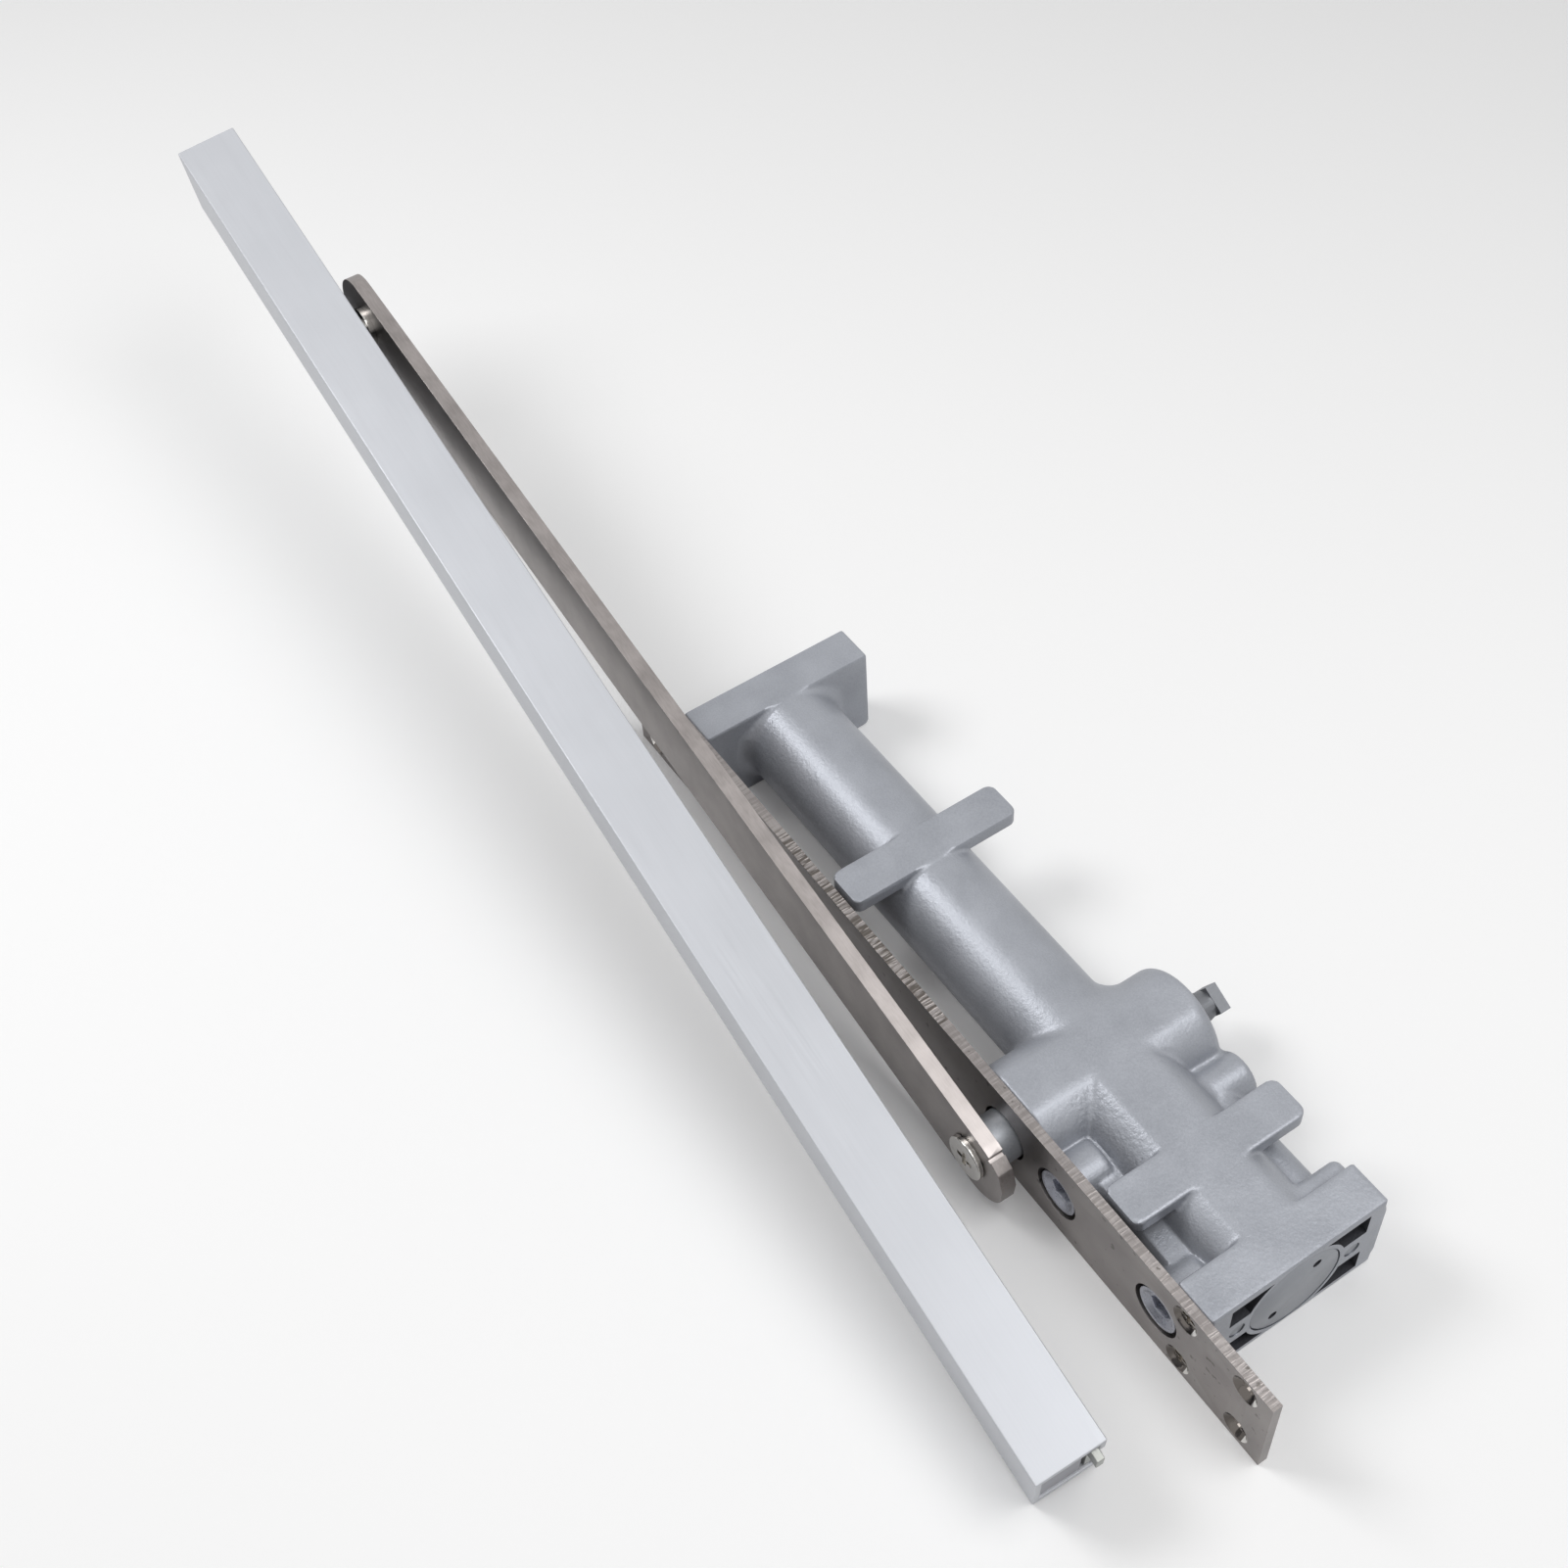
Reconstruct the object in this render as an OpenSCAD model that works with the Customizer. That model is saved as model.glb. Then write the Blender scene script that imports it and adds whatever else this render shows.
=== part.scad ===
// Concealed hydraulic door closer with a slide arm and a guide track, in millimetres.
// +X runs along the face plate towards the valve end, +Y from the plate into the closer
// body, +Z up across the plate. The origin is the middle of the four mounting holes on
// the plate's inner face, which seats on the door.

/* [Face plate] */
// Length of the face plate
plate_l = 290; // [284:1:320]
// Width of the face plate
plate_w = 32; // [31:0.5:36]
// Thickness of the face plate
plate_t = 3; // [2.6:0.1:3.6]
// Distance from each end of the plate to its mounting holes
mount_inset = 9; // [8:0.5:12]
// Distance between the two rows of mounting holes
mount_rows = 21.6; // [18:0.2:22]
// Diameter of a mounting hole
mount_hole_d = 5.2; // [4.6:0.1:5.6]
// Diameter of a countersink at the plate's outer face
sink_d = 8.8; // [8.2:0.1:9.2]
// Distance between the two rows of plate screws
screw_rows = 22; // [20:0.2:22.4]
// Thread diameter of a plate screw
screw_d = 4; // [3.6:0.1:4.4]
// Depth that a plate screw enters the casting
screw_bite = 5.5; // [4.5:0.1:6]
// Diameter of the plate's hole round the spindle
nose_hole_d = 16.4; // [16.2:0.1:18.4]
// Diameter of the plate's holes over the valves
valve_hole_d = 15.6; // [15:0.1:16]

/* [Casting] */
// Length of the casting from the flange's face to the block's face
housing_l = 240.4; // [236:0.4:246]
// Width of the casting
housing_w = 32; // [31.6:0.1:33]
// Distance from the plate's inner face to the far side of the casting
housing_depth = 58; // [57:0.5:62]
// Thickness of the flange at the spring end
flange_t = 13.4; // [12:0.2:16]
// Thickness of the block at the valve end
block_t = 13; // [12:0.2:15]
// Distance from the casting's ends to the plate screws
screw_inset = 5.9; // [5.5:0.1:7]
// Distance from the plate's inner face to the bore's axis
axis_y = 28.8; // [28.4:0.1:29.4]
// Outer diameter of the spring tube
tube_d = 31.6; // [30.6:0.1:31.8]
// Outer diameter of the hydraulic cylinder before its flats
cylinder_d = 35.4; // [34:0.2:37]
// Diameter of the bore
bore_d = 25; // [24.6:0.1:25.4]
// Position of the spindle along the plate
spindle_x = 43; // [40:0.5:45]
// Diameter of the pinion boss before its flats
boss_d = 34.4; // [33.6:0.2:36]
// Distance from the flange's face to the middle of the first cross bar
bar_1_off = 82.6; // [75:0.2:90]
// Distance from the block's face to the middle of the second cross bar
bar_2_off = 36.7; // [34:0.1:40]
// Width of a cross bar
bar_w = 13.2; // [11:0.2:15]
// Thickness of a cross bar
bar_t = 5; // [4:0.2:6]
// Gap between the plate and the cross bars
bar_gap = 1.4; // [1:0.1:2]
// Radius of the cross bars' ends
bar_corner = 3; // [2:0.2:4]
// Radius of the fillets where the tube and cylinder grow out of the flange and block
root_r = 4; // [2:0.2:5]
// Radius of the rounded far edge of the pinion boss
boss_edge = 4; // [2:0.2:5]
// Length of the ledge that joins the far oil channel's rib to the block
ledge_l = 5.2; // [4:0.2:7]
// Height of the ledge above and below the casting's middle plane
ledge_h = 12.4; // [10:0.2:14]

/* [Hydraulics] */
// Distance from the spindle to the closing valve
valve_1_off = 22; // [21.5:0.1:23]
// Distance from the block's face to the latching valve
valve_2_inset = 15.5; // [15.2:0.1:17]
// Diameter of a valve's head
valve_d = 13.4; // [13:0.1:13.8]
// Diameter of the casting's boss round a valve
valve_boss_d = 17.4; // [16.8:0.1:18]
// Depth of a valve's tip in the casting
valve_depth = 11.6; // [10.8:0.1:12]
// Diameter of the second boss on the far side
rear_boss_d = 14.6; // [13:0.2:15]
// Distance from the bore's axis to each drilled oil channel
channel_off = 18.9; // [18.5:0.1:19.2]
// Diameter of a drilled oil channel
channel_d = 3; // [2.4:0.1:3.4]
// Diameter of the casting's rib round an oil channel
channel_rib_d = 11.6; // [11:0.1:12]
// Diameter of the plug that closes an oil channel
channel_plug_d = 5; // [4.6:0.1:5.4]
// Diameter of the end plug
plug_d = 29.4; // [29:0.1:29.8]
// Thickness of the end plug's head
plug_head_t = 8; // [7:0.1:9]
// Length of the end plug's spigot in the bore
plug_spigot_l = 6; // [5:0.1:7]
// Distance from the end plug's axis to its two spanner holes
spanner_off = 9.4; // [8.8:0.1:10]
// Diameter of a spanner hole
spanner_d = 2.8; // [2.4:0.1:3.2]

/* [Spindle and piston] */
// Largest turn of the spindle
open_angle = 120; // [100:1:125]
// Teeth of the pinion
pinion_teeth = 10; // [10:1:10]
// Pitch radius of the pinion
pitch_r = 7.5; // [7.3:0.05:7.6]
// Diameter of the spindle's nose
nose_d = 14.6; // [14.2:0.1:15.8]
// Diameter of the spindle's rear journal
rear_d = 11.6; // [11.2:0.1:12]
// Distance that the rear square's end stands out of the casting
rear_out = 12.2; // [11:0.2:14]
// Side of the rear square
rear_square = 8.2; // [7.8:0.1:8.2]
// Length of the rear square
rear_square_l = 3.4; // [3:0.1:5]
// Turn of the rear square about the spindle
rear_square_turn = 28; // [0:1:45]
// Side of the square that drives the arm
drive_square = 10; // [9.6:0.1:10]
// Outer diameter of the two spindle bearings
bearing_d = 23; // [22.6:0.1:23.4]
// Width of a spindle bearing
bearing_w = 9; // [8.4:0.1:9.4]
// Length of each piston head
piston_head_l = 14; // [13:0.5:16]
// Outer diameter of the return spring
spring_d = 23; // [22:0.2:23.6]
// Wire diameter of the return spring
spring_wire = 3.6; // [3:0.1:4.2]

/* [Arm] */
// Distance from the spindle to the arm's far end
arm_reach = 347.2; // [338:0.1:350]
// Distance from the spindle to the arm's near end
arm_tail = 14.5; // [14:0.1:15.5]
// Width of the arm
arm_w = 24; // [23:0.5:26]
// Thickness of the arm
arm_t = 4.6; // [4.2:0.1:5]
// Gap between the plate and the arm
arm_gap = 6.9; // [6.5:0.1:7.4]
// Angle of the closed arm above the plate
arm_pitch = 11.8; // [10.5:0.1:12]
// Distance from the arm's far end to its pin
pin_inset = 17.2; // [14:0.2:20]
// Diameter of the arm screw's head
arm_screw_d = 13.4; // [13:0.2:15]
// Height of the arm screw's head
arm_screw_h = 1.4; // [1.4:0.1:2.4]

/* [Guide pin and slider] */
// Diameter of the pin's shoulder
shoulder_d = 13; // [12:0.2:14]
// Height of the pin's shoulder
shoulder_h = 1.9; // [1.6:0.1:2]
// Diameter of the pin's neck
neck_d = 6; // [5.4:0.1:6.4]
// Diameter of the ball at the pin's end
ball_d = 9; // [8.6:0.1:9.2]
// Distance from the track's open side to the middle of the ball
ball_depth = 8; // [7.8:0.1:8.4]
// Length of the slider
slider_l = 32; // [26:0.5:38]
// Width of the slider
slider_w = 19; // [17:0.2:19]
// Thickness of the slider
slider_t = 11; // [10:0.2:11]

/* [Track] */
// Length of the track
track_l = 501.9; // [480:0.5:505]
// Width of the track
track_w = 25.7; // [25.5:0.1:27]
// Depth of the track
track_d = 20.3; // [20:0.1:22]
// Wall thickness of the track
track_wall = 2; // [1.6:0.1:2.1]
// Width of the track's slot
slot_w = 10; // [9.6:0.1:11]
// Distance from the pin to the track's far end
track_far = 90.8; // [88:0.1:100]
// Gap between the arm and the track at the pin
track_gap = 3; // [3:0.1:3.6]
// Angle of the track above the plate
track_pitch = 9.57; // [9:0.01:9.57]
// Skew of the track away from the plate, play of the loose slider
track_yaw = 2.55; // [2:0.01:3]
// Lean of the track about its own length, play of the loose slider
track_lean = 6.82; // [6:0.01:7]
// Length of the stop block in each end of the track
stop_l = 24; // [18:0.5:30]
// Length of the near clamp plate past the end of the track
tongue_out = 2.8; // [2:0.1:3.4]
// Thickness of a clamp plate
tongue_t = 2.2; // [1.8:0.1:2.4]
// Width of the near clamp plate's tongue
tongue_w = 7; // [5:0.5:12]
// Diameter of the set screw that clamps a stop
set_screw_d = 5; // [4:0.2:6]

/* [Hidden] */
// Clearances in radius or on a side
run_fit = 0.06;
seat_fit = 0.03;
free_fit = 0.3;
// Clearance along its axis for a ring or plug in its seat
end_fit = 0.2;
// Fineness of the round faces
$fn = 64;
fine = 96;
// How far a cutting shape runs past the face that it cuts
cut = 1;
// How far a shape reaches into the one that it grows from
join = 1;
// Small overlap between joined shapes
eps = 0.01;

// Ends of the plate, the casting and its parts
half_l = housing_l / 2;
half_w = housing_w / 2;
body_far = housing_depth;
block_short = 1;
bar_1_x = bar_1_off - half_l;
bar_2_x = half_l - bar_2_off;
block_x = half_l - block_t;
flange_x = flange_t - half_l;
mount_x = plate_l / 2 - mount_inset;
screw_x = half_l - screw_inset;
face_y = -plate_t;
cross_l = 4.5;
cross_w = 1.1;
cross_deep = 1.5;
screw_set = 0.25;

// Valve and channel places
valve_xs = [spindle_x + valve_1_off, half_l - valve_2_inset];
plate_channel_y = axis_y - channel_off;
far_channel_y = axis_y + channel_off;
channel_plug_l = 4;
valve_head_end = 4;
valve_head_top = face_y + 0.5;
valve_stem_d = 8;
valve_socket = 6.6;
valve_socket_deep = 4;
valve_tip_l = 2;
valve_groove_in = 1;
valve_groove_l = 1.6;
valve_groove_deep = 1;
rear_boss_out = 1.5;
rear_boss_edge = 2;
valve_seat = valve_depth + free_fit;

// End plug and bore
plug_recess_x = half_l - plug_head_t;
spigot_x = plug_recess_x - plug_spigot_l;
bore_floor = 8;
bore_start = bore_floor - half_l;
ring_t = 2.4;
ring_depth = 1.6;
groove_gap = 0.1;
plug_set = 0.1;
plug_groove_in = 2;
spanner_deep = 5;
spanner_turn = 48.7;

// Corner recesses of the block
recess_deep = 9;
recess_rim = 2.4;
recess_far_rim = 6.4;
recess_far_y = body_far - recess_far_rim;
recess_screw_wall = 1.2;
recess_near_y = screw_bite + recess_screw_wall;
recess_inner = 5.2;
recess_plug_wall = 1.4;

// Pinion, a stub tooth form with a 25 degree flank
tooth_angle = 25;
tooth_module = 2 * pitch_r / pinion_teeth;
tooth_add = 0.8 * tooth_module;
rack_add = 0.7 * tooth_module;
tooth_root = 0.3;
backlash = 0.25;
pinion_tip = pitch_r + tooth_add;
pinion_root = pitch_r - rack_add - tooth_root;
rack_tip = pitch_r - rack_add;
rack_root = pitch_r + tooth_add + tooth_root;
base_r = pitch_r * cos(tooth_angle);
tooth_pitch = 2 * PI * pitch_r / pinion_teeth;
pinion_l = 20;
pinion_y = axis_y - pinion_l / 2;

// Spindle stack, measured from the plate's inner face
arm_inner = face_y - arm_gap;
arm_outer = arm_inner - arm_t;
gland_y = 0.4;
gland_t = 1.8;
seal_t = 2.6;
front_bearing_y = gland_y + gland_t + seal_t;
journal_past = 1;
front_journal_end = front_bearing_y + bearing_w + journal_past;
bore_wall = 1.2;
rear_bearing_y = axis_y + bore_d / 2 + bore_wall;
rear_seal_y = rear_bearing_y + bearing_w;
rear_seal_end = rear_seal_y + seal_t;
boss_out = 0.5;
boss_far = body_far + boss_out;
rear_end = body_far + rear_out;
rear_square_y = rear_end - rear_square_l;
rear_neck_step = 0.1;
rear_seal_d = 18;

// Piston and its travel
travel = pitch_r * open_angle * PI / 180;
window_gap = 0.8;
window_start = spindle_x - pinion_tip - window_gap;
window_end = spindle_x + pinion_tip + window_gap + travel;
piston_start = window_start - piston_head_l;
piston_end = window_end + piston_head_l;
tip_gap = 0.6;
window_top = pinion_tip + tip_gap;
piston_ring_in = 6;
piston_r = bore_d / 2 - run_fit;
check_hole_d = 3;
check_pocket_d = 6;
check_pocket_l = 9;
check_ball_d = 5;
check_cap_t = 3;
seat_t = 3;
spring_start = bore_start + seat_t;
spring_end = piston_start - free_fit;

// Pin, slider and track frames
pin_x = spindle_x - (arm_reach - pin_inset) * cos(arm_pitch);
pin_z = (arm_reach - pin_inset) * sin(arm_pitch);
track_y = arm_outer - track_gap;
track_tilt = [track_lean, track_pitch, -track_yaw];
track_near = track_l - track_far;
inner_w = track_w - 2 * track_wall;
slider_hole_d = ball_d + 0.2;
stop_w = inner_w - 2 * free_fit;
plate_gap = 1.4;
lip_gap = 0.5;
tongue_y = -track_wall - lip_gap - tongue_t;
stop_y = -track_d + track_wall + seat_fit;
stop_t = tongue_y - plate_gap - stop_y;
stop_set_back = 0.8;
set_socket_deep = 3;
arm_thread_d = 6;
arm_cross_l = 6;
arm_cross_w = 1.6;
arm_cross_deep = 1;
arm_screw_dome = 0.4;
washer_t = 0.4;
rivet_d = 8;
rivet_out = 0.6;

// Turns a shape drawn along +Z so that it runs along +Y
module along_y() { rotate([-90, 0, 0]) children(); }

// Turns a shape drawn along +Z so that it runs along +X
module along_x() { rotate([0, 90, 0]) children(); }

// Puts a shape at a place along +Y on the line through x and z
module on_y(x, y, z = 0) { translate([x, y, z]) along_y() children(); }

// Puts a shape at a place along +X on the line through y and z
module on_x(x, y, z = 0) { translate([x, y, z]) along_x() children(); }

// Draws children above and, mirrored, below the middle plane
module both_sides() {
  children();
  mirror([0, 0, 1]) children();
}

// A slab flush with the casting's flats, between two values of x and y
module flat_slab(x0, x1, y0, y1) {
  translate([x0, y0, -half_w]) cube([x1 - x0, y1 - y0, housing_w]);
}

// A round bar along +Z with a rounded far edge
module round_end(d, l, edge) {
  rotate_extrude($fn = fine) {
    square([d / 2, l - edge]);
    square([d / 2 - edge, l]);
    translate([d / 2 - edge, l - edge]) circle(r = edge, $fn = 48);
  }
}

// A concave fillet round a bar along +X, at the face that the bar grows from
module root_fillet(d) {
  bite = 0.1;
  intersection() {
    along_x() rotate_extrude($fn = fine) difference() {
      translate([d / 2 - join, -join]) square([root_r + join - bite, root_r + join - bite]);
      translate([d / 2 + root_r - bite, root_r - bite]) circle(r = root_r, $fn = 64);
    }
    translate([-cut - join, -d, -half_w]) cube([root_r + 2 * cut + join, 2 * d, housing_w]);
  }
}

// A round bar along Y, clipped by the casting's two flats
module flat_boss(d, y1, edge) {
  intersection() {
    on_y(spindle_x, 0) round_end(d, y1, edge);
    flat_slab(spindle_x - d, spindle_x + d, -cut, y1 + cut);
  }
}

// The cylinder along X that holds the piston, clipped by the casting's two flats
module flat_cylinder() {
  intersection() {
    on_x(spindle_x, axis_y) cylinder(d = cylinder_d, h = block_x + join - spindle_x, $fn = fine);
    flat_slab(spindle_x - cut, block_x + join + cut, axis_y - cylinder_d, axis_y + cylinder_d);
  }
}

// Outline of a cross bar, seen along Z
module bar_outline(mid) {
  y0 = bar_gap;
  x0 = mid - bar_w / 2;
  for (x = [x0 + bar_corner, x0 + bar_w - bar_corner])
    for (y = [y0 + bar_corner, body_far - bar_corner])
      translate([x, y]) circle(r = bar_corner, $fn = 32);
  translate([x0 + bar_corner, y0]) square([bar_w - 2 * bar_corner, body_far - y0]);
  translate([x0, y0 + bar_corner]) square([bar_w, body_far - y0 - 2 * bar_corner]);
}

// A cross bar on the upper flat, cast onto the tube or cylinder below it
module cross_bar(mid) {
  translate([0, 0, half_w - bar_t]) linear_extrude(bar_t) bar_outline(mid);
}

// The four blind recesses that lighten the block's end face
module block_recesses() {
  x0 = half_l - recess_deep;
  recess_h = half_w - recess_rim - recess_inner;
  plug_clear = plug_d / 2 + recess_plug_wall;
  difference() {
    both_sides() {
      translate([x0, recess_near_y, recess_inner])
        cube([recess_deep + cut, axis_y - recess_near_y, recess_h]);
      translate([x0, axis_y, recess_inner])
        cube([recess_deep + cut, recess_far_y - axis_y, recess_h]);
    }
    on_x(x0 - cut, axis_y) cylinder(r = plug_clear, h = recess_deep + 3 * cut, $fn = fine);
  }
}

// The bore for the spindle, its bearings and its two seals
module spindle_bores() {
  on_y(spindle_x, -cut) cylinder(d = bearing_d, h = rear_seal_y + cut, $fn = fine);
  on_y(spindle_x, rear_seal_y - eps) cylinder(d = rear_seal_d, h = seal_t + eps, $fn = fine);
  on_y(spindle_x, rear_seal_end - eps)
    cylinder(d = rear_d + 2 * free_fit, h = boss_far - rear_seal_end + cut);
}

// The bore for a valve, with its head and its stem
module valve_bores(x) {
  on_y(x, -cut) cylinder(d = valve_d + 2 * run_fit, h = valve_head_end + cut);
  on_y(x, valve_head_end - eps)
    cylinder(d = valve_stem_d + 2 * run_fit, h = valve_seat - valve_head_end);
}

module housing() {
  color("#a6a9af") difference() {
    union() {
      flat_slab(-half_l, flange_x, 0, body_far);
      flat_slab(block_x, half_l, 0, body_far - block_short);
      on_x(flange_x - join, axis_y)
        cylinder(d = tube_d, h = spindle_x - flange_x + join, $fn = fine);
      translate([flange_x, axis_y, 0]) root_fillet(tube_d);
      flat_cylinder();
      translate([block_x, axis_y, 0]) mirror([1, 0, 0]) root_fillet(cylinder_d);
      flat_boss(boss_d, boss_far, boss_edge);
      cross_bar(bar_1_x);
      cross_bar(bar_2_x);
      for (x = valve_xs) on_y(x, 0) cylinder(d = valve_boss_d, h = axis_y);
      on_y(valve_xs[0], axis_y)
        round_end(rear_boss_d, body_far + rear_boss_out - axis_y, rear_boss_edge);
      for (y = [plate_channel_y, far_channel_y])
        on_x(spindle_x, y) cylinder(d = channel_rib_d, h = block_x + join - spindle_x);
      translate([block_x - ledge_l, axis_y, -ledge_h])
        cube([ledge_l + join, body_far - block_short - axis_y, 2 * ledge_h]);
    }
    on_x(bore_start, axis_y) cylinder(d = bore_d, h = housing_l, $fn = fine);
    on_x(plug_recess_x, axis_y)
      cylinder(d = plug_d + 2 * seat_fit, h = plug_head_t + cut, $fn = fine);
    spindle_bores();
    for (x = valve_xs) valve_bores(x);
    for (y = [plate_channel_y, far_channel_y]) {
      on_x(valve_xs[0], y) cylinder(d = channel_d, h = housing_l, $fn = 32);
      on_x(half_l - channel_plug_l - end_fit, y)
        cylinder(d = channel_plug_d + 2 * seat_fit, h = channel_plug_l + cut, $fn = 48);
    }
    block_recesses();
    for (x = [-screw_x, screw_x]) for (z = [-screw_rows / 2, screw_rows / 2])
      on_y(x, -cut, z)
        cylinder(d = screw_d + 2 * seat_fit, h = screw_bite + cut + free_fit, $fn = 32);
  }
}

// A countersunk hole through the plate
module sunk_hole(x, z, d) {
  sink_depth = (sink_d - d) / 2;
  on_y(x, face_y - cut, z) cylinder(d = d, h = plate_t + 2 * cut, $fn = 48);
  on_y(x, face_y - eps, z) cylinder(d1 = sink_d, d2 = d, h = sink_depth, $fn = 48);
}

module face_plate() {
  color("#8d8884") difference() {
    translate([-plate_l / 2, face_y, -plate_w / 2]) cube([plate_l, plate_t, plate_w]);
    for (x = [-mount_x, mount_x]) for (z = [-mount_rows / 2, mount_rows / 2])
      sunk_hole(x, z, mount_hole_d);
    for (x = [-screw_x, screw_x]) for (z = [-screw_rows / 2, screw_rows / 2])
      sunk_hole(x, z, screw_d + 2 * free_fit);
    on_y(spindle_x, face_y - cut) cylinder(d = nose_hole_d, h = plate_t + 2 * cut);
    for (x = valve_xs)
      on_y(x, face_y - cut) cylinder(d = valve_hole_d, h = plate_t + 2 * cut);
  }
}

// A cross recess of four wings, cut down from the head
module cross_recess(size, wing, deep) {
  for (a = [0, 90]) rotate([0, 0, a])
    translate([-size / 2, -wing / 2, -cut]) cube([size, wing, deep + cut]);
}

module plate_screws() {
  head_d = sink_d - 2 * (screw_set + seat_fit);
  color("#c9c9c7")
    for (x = [-screw_x, screw_x]) for (z = [-screw_rows / 2, screw_rows / 2])
      on_y(x, face_y + screw_set, z) difference() {
        union() {
          cylinder(d1 = head_d, d2 = screw_d, h = (head_d - screw_d) / 2, $fn = 48);
          cylinder(d = screw_d, h = plate_t + screw_bite - screw_set, $fn = 48);
        }
        cross_recess(cross_l, cross_w, cross_deep);
      }
}

// The groove that takes a rubber ring, cut from outside a round bar
module ring_groove(d) {
  groove_l = ring_t + 2 * groove_gap;
  difference() {
    cylinder(d = d + 2 * cut, h = groove_l, $fn = fine);
    translate([0, 0, -cut])
      cylinder(d = d - 2 * ring_depth, h = groove_l + 2 * cut, $fn = fine);
  }
}

module end_plug() {
  color("#999ca2") difference() {
    union() {
      on_x(plug_recess_x + plug_set, axis_y)
        cylinder(d = plug_d, h = plug_head_t - 2 * plug_set, $fn = fine);
      on_x(spigot_x, axis_y)
        cylinder(d = bore_d - 2 * seat_fit, h = plug_spigot_l + join, $fn = fine);
    }
    on_x(spigot_x + plug_groove_in, axis_y) ring_groove(bore_d);
    for (a = [spanner_turn, spanner_turn + 180])
      on_x(half_l - spanner_deep, axis_y + spanner_off * cos(a), spanner_off * sin(a))
        cylinder(d = spanner_d, h = spanner_deep + cut, $fn = 32);
  }
}

// A rubber ring that fills a groove to just short of the bore
module groove_ring(outer_d) {
  difference() {
    cylinder(d = outer_d, h = ring_t, $fn = fine);
    translate([0, 0, -cut])
      cylinder(d = outer_d - 2 * ring_depth + free_fit, h = ring_t + 2 * cut, $fn = fine);
  }
}

module end_plug_ring() {
  color("#222222") on_x(spigot_x + plug_groove_in + groove_gap, axis_y)
    groove_ring(bore_d - 2 * seat_fit);
}

module channel_plugs() {
  color("#b7b8b8") for (y = [plate_channel_y, far_channel_y])
    on_x(half_l - channel_plug_l, y)
      cylinder(d = channel_plug_d, h = channel_plug_l - free_fit, $fn = 48);
}

// One point of an involute from the base circle, at a roll angle in degrees
function involute(roll) =
  let (t = roll * PI / 180)
  base_r * [cos(roll) + t * sin(roll), sin(roll) - t * cos(roll)];

// Roll angle at which the involute reaches a radius
function roll_at(r) = sqrt((r / base_r) * (r / base_r) - 1) * 180 / PI;

// Polar angle of the involute at a radius
function flank_angle(r) = let (p = involute(roll_at(r))) atan2(p[1], p[0]);

// Half the angle of a pinion tooth at the pitch circle, less the backlash
half_tooth = 90 / pinion_teeth - backlash / 2 / pitch_r * 180 / PI;

flank_steps = 5;

// Right flank of a tooth that points along +X, from its root to its tip
function right_flank() = concat(
  [[pinion_root, -half_tooth - flank_angle(pitch_r)]],
  [for (i = [0:flank_steps])
    let (r = base_r + (pinion_tip - base_r) * i / flank_steps)
    [r, flank_angle(r) - half_tooth - flank_angle(pitch_r)]]);

// A point at a radius and an angle
function polar(r, a) = [r * cos(a), r * sin(a)];

module pinion_outline() {
  flank = right_flank();
  n = len(flank);
  polygon([for (k = [0:pinion_teeth - 1]) let (mid = k * 360 / pinion_teeth)
    for (i = [0:2 * n - 1])
      let (p = i < n ? flank[i] : flank[2 * n - 1 - i], s = i < n ? 1 : -1)
      polar(p[0], mid + s * p[1])]);
}

module spindle() {
  color("#bfc1c4") union() {
    on_y(spindle_x, arm_inner)
      cylinder(d = nose_d, h = front_journal_end - arm_inner, $fn = fine);
    on_y(spindle_x, front_journal_end - join)
      cylinder(r = pinion_root, h = rear_bearing_y - front_journal_end + join - free_fit,
        $fn = fine);
    on_y(spindle_x, pinion_y) rotate([0, 0, 90]) linear_extrude(pinion_l) pinion_outline();
    on_y(spindle_x, rear_bearing_y - join)
      cylinder(d = rear_d, h = boss_far - rear_bearing_y + join);
    on_y(spindle_x, boss_far)
      cylinder(d1 = rear_d, d2 = rear_square - 2 * rear_neck_step, h = rear_square_y - boss_far);
    on_y(spindle_x, rear_square_y)
      rotate([0, 0, rear_square_turn])
        translate([-rear_square / 2, -rear_square / 2, 0])
          cube([rear_square, rear_square, rear_square_l]);
    translate([spindle_x, 0, 0]) rotate([0, arm_pitch, 0])
      translate([-drive_square / 2, arm_outer + free_fit, -drive_square / 2])
        cube([drive_square, arm_t, drive_square]);
  }
}

// A plain ring along Y round the spindle
module spindle_ring(y, h, outer, inner) {
  on_y(spindle_x, y) difference() {
    cylinder(d = outer, h = h, $fn = fine);
    translate([0, 0, -cut]) cylinder(d = inner, h = h + 2 * cut, $fn = fine);
  }
}

module front_bearing() {
  color("#8f9296")
    spindle_ring(front_bearing_y, bearing_w - end_fit, bearing_d - 2 * seat_fit,
      nose_d + 2 * run_fit);
}

module rear_bearing() {
  color("#8f9296")
    spindle_ring(rear_bearing_y, bearing_w - end_fit, bearing_d - 2 * seat_fit,
      rear_d + 2 * run_fit);
}

module front_seal() {
  color("#222222")
    spindle_ring(gland_y + gland_t, seal_t - end_fit, bearing_d - 2 * seat_fit,
      nose_d + 2 * run_fit);
}

module rear_seal() {
  color("#222222")
    spindle_ring(rear_seal_y + end_fit / 2, seal_t - end_fit, rear_seal_d - 2 * seat_fit,
      rear_d + 2 * run_fit);
}

module gland() {
  color("#6f7174")
    spindle_ring(gland_y, gland_t - end_fit, bearing_d - 2 * seat_fit, nose_d + 2 * free_fit);
}

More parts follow.
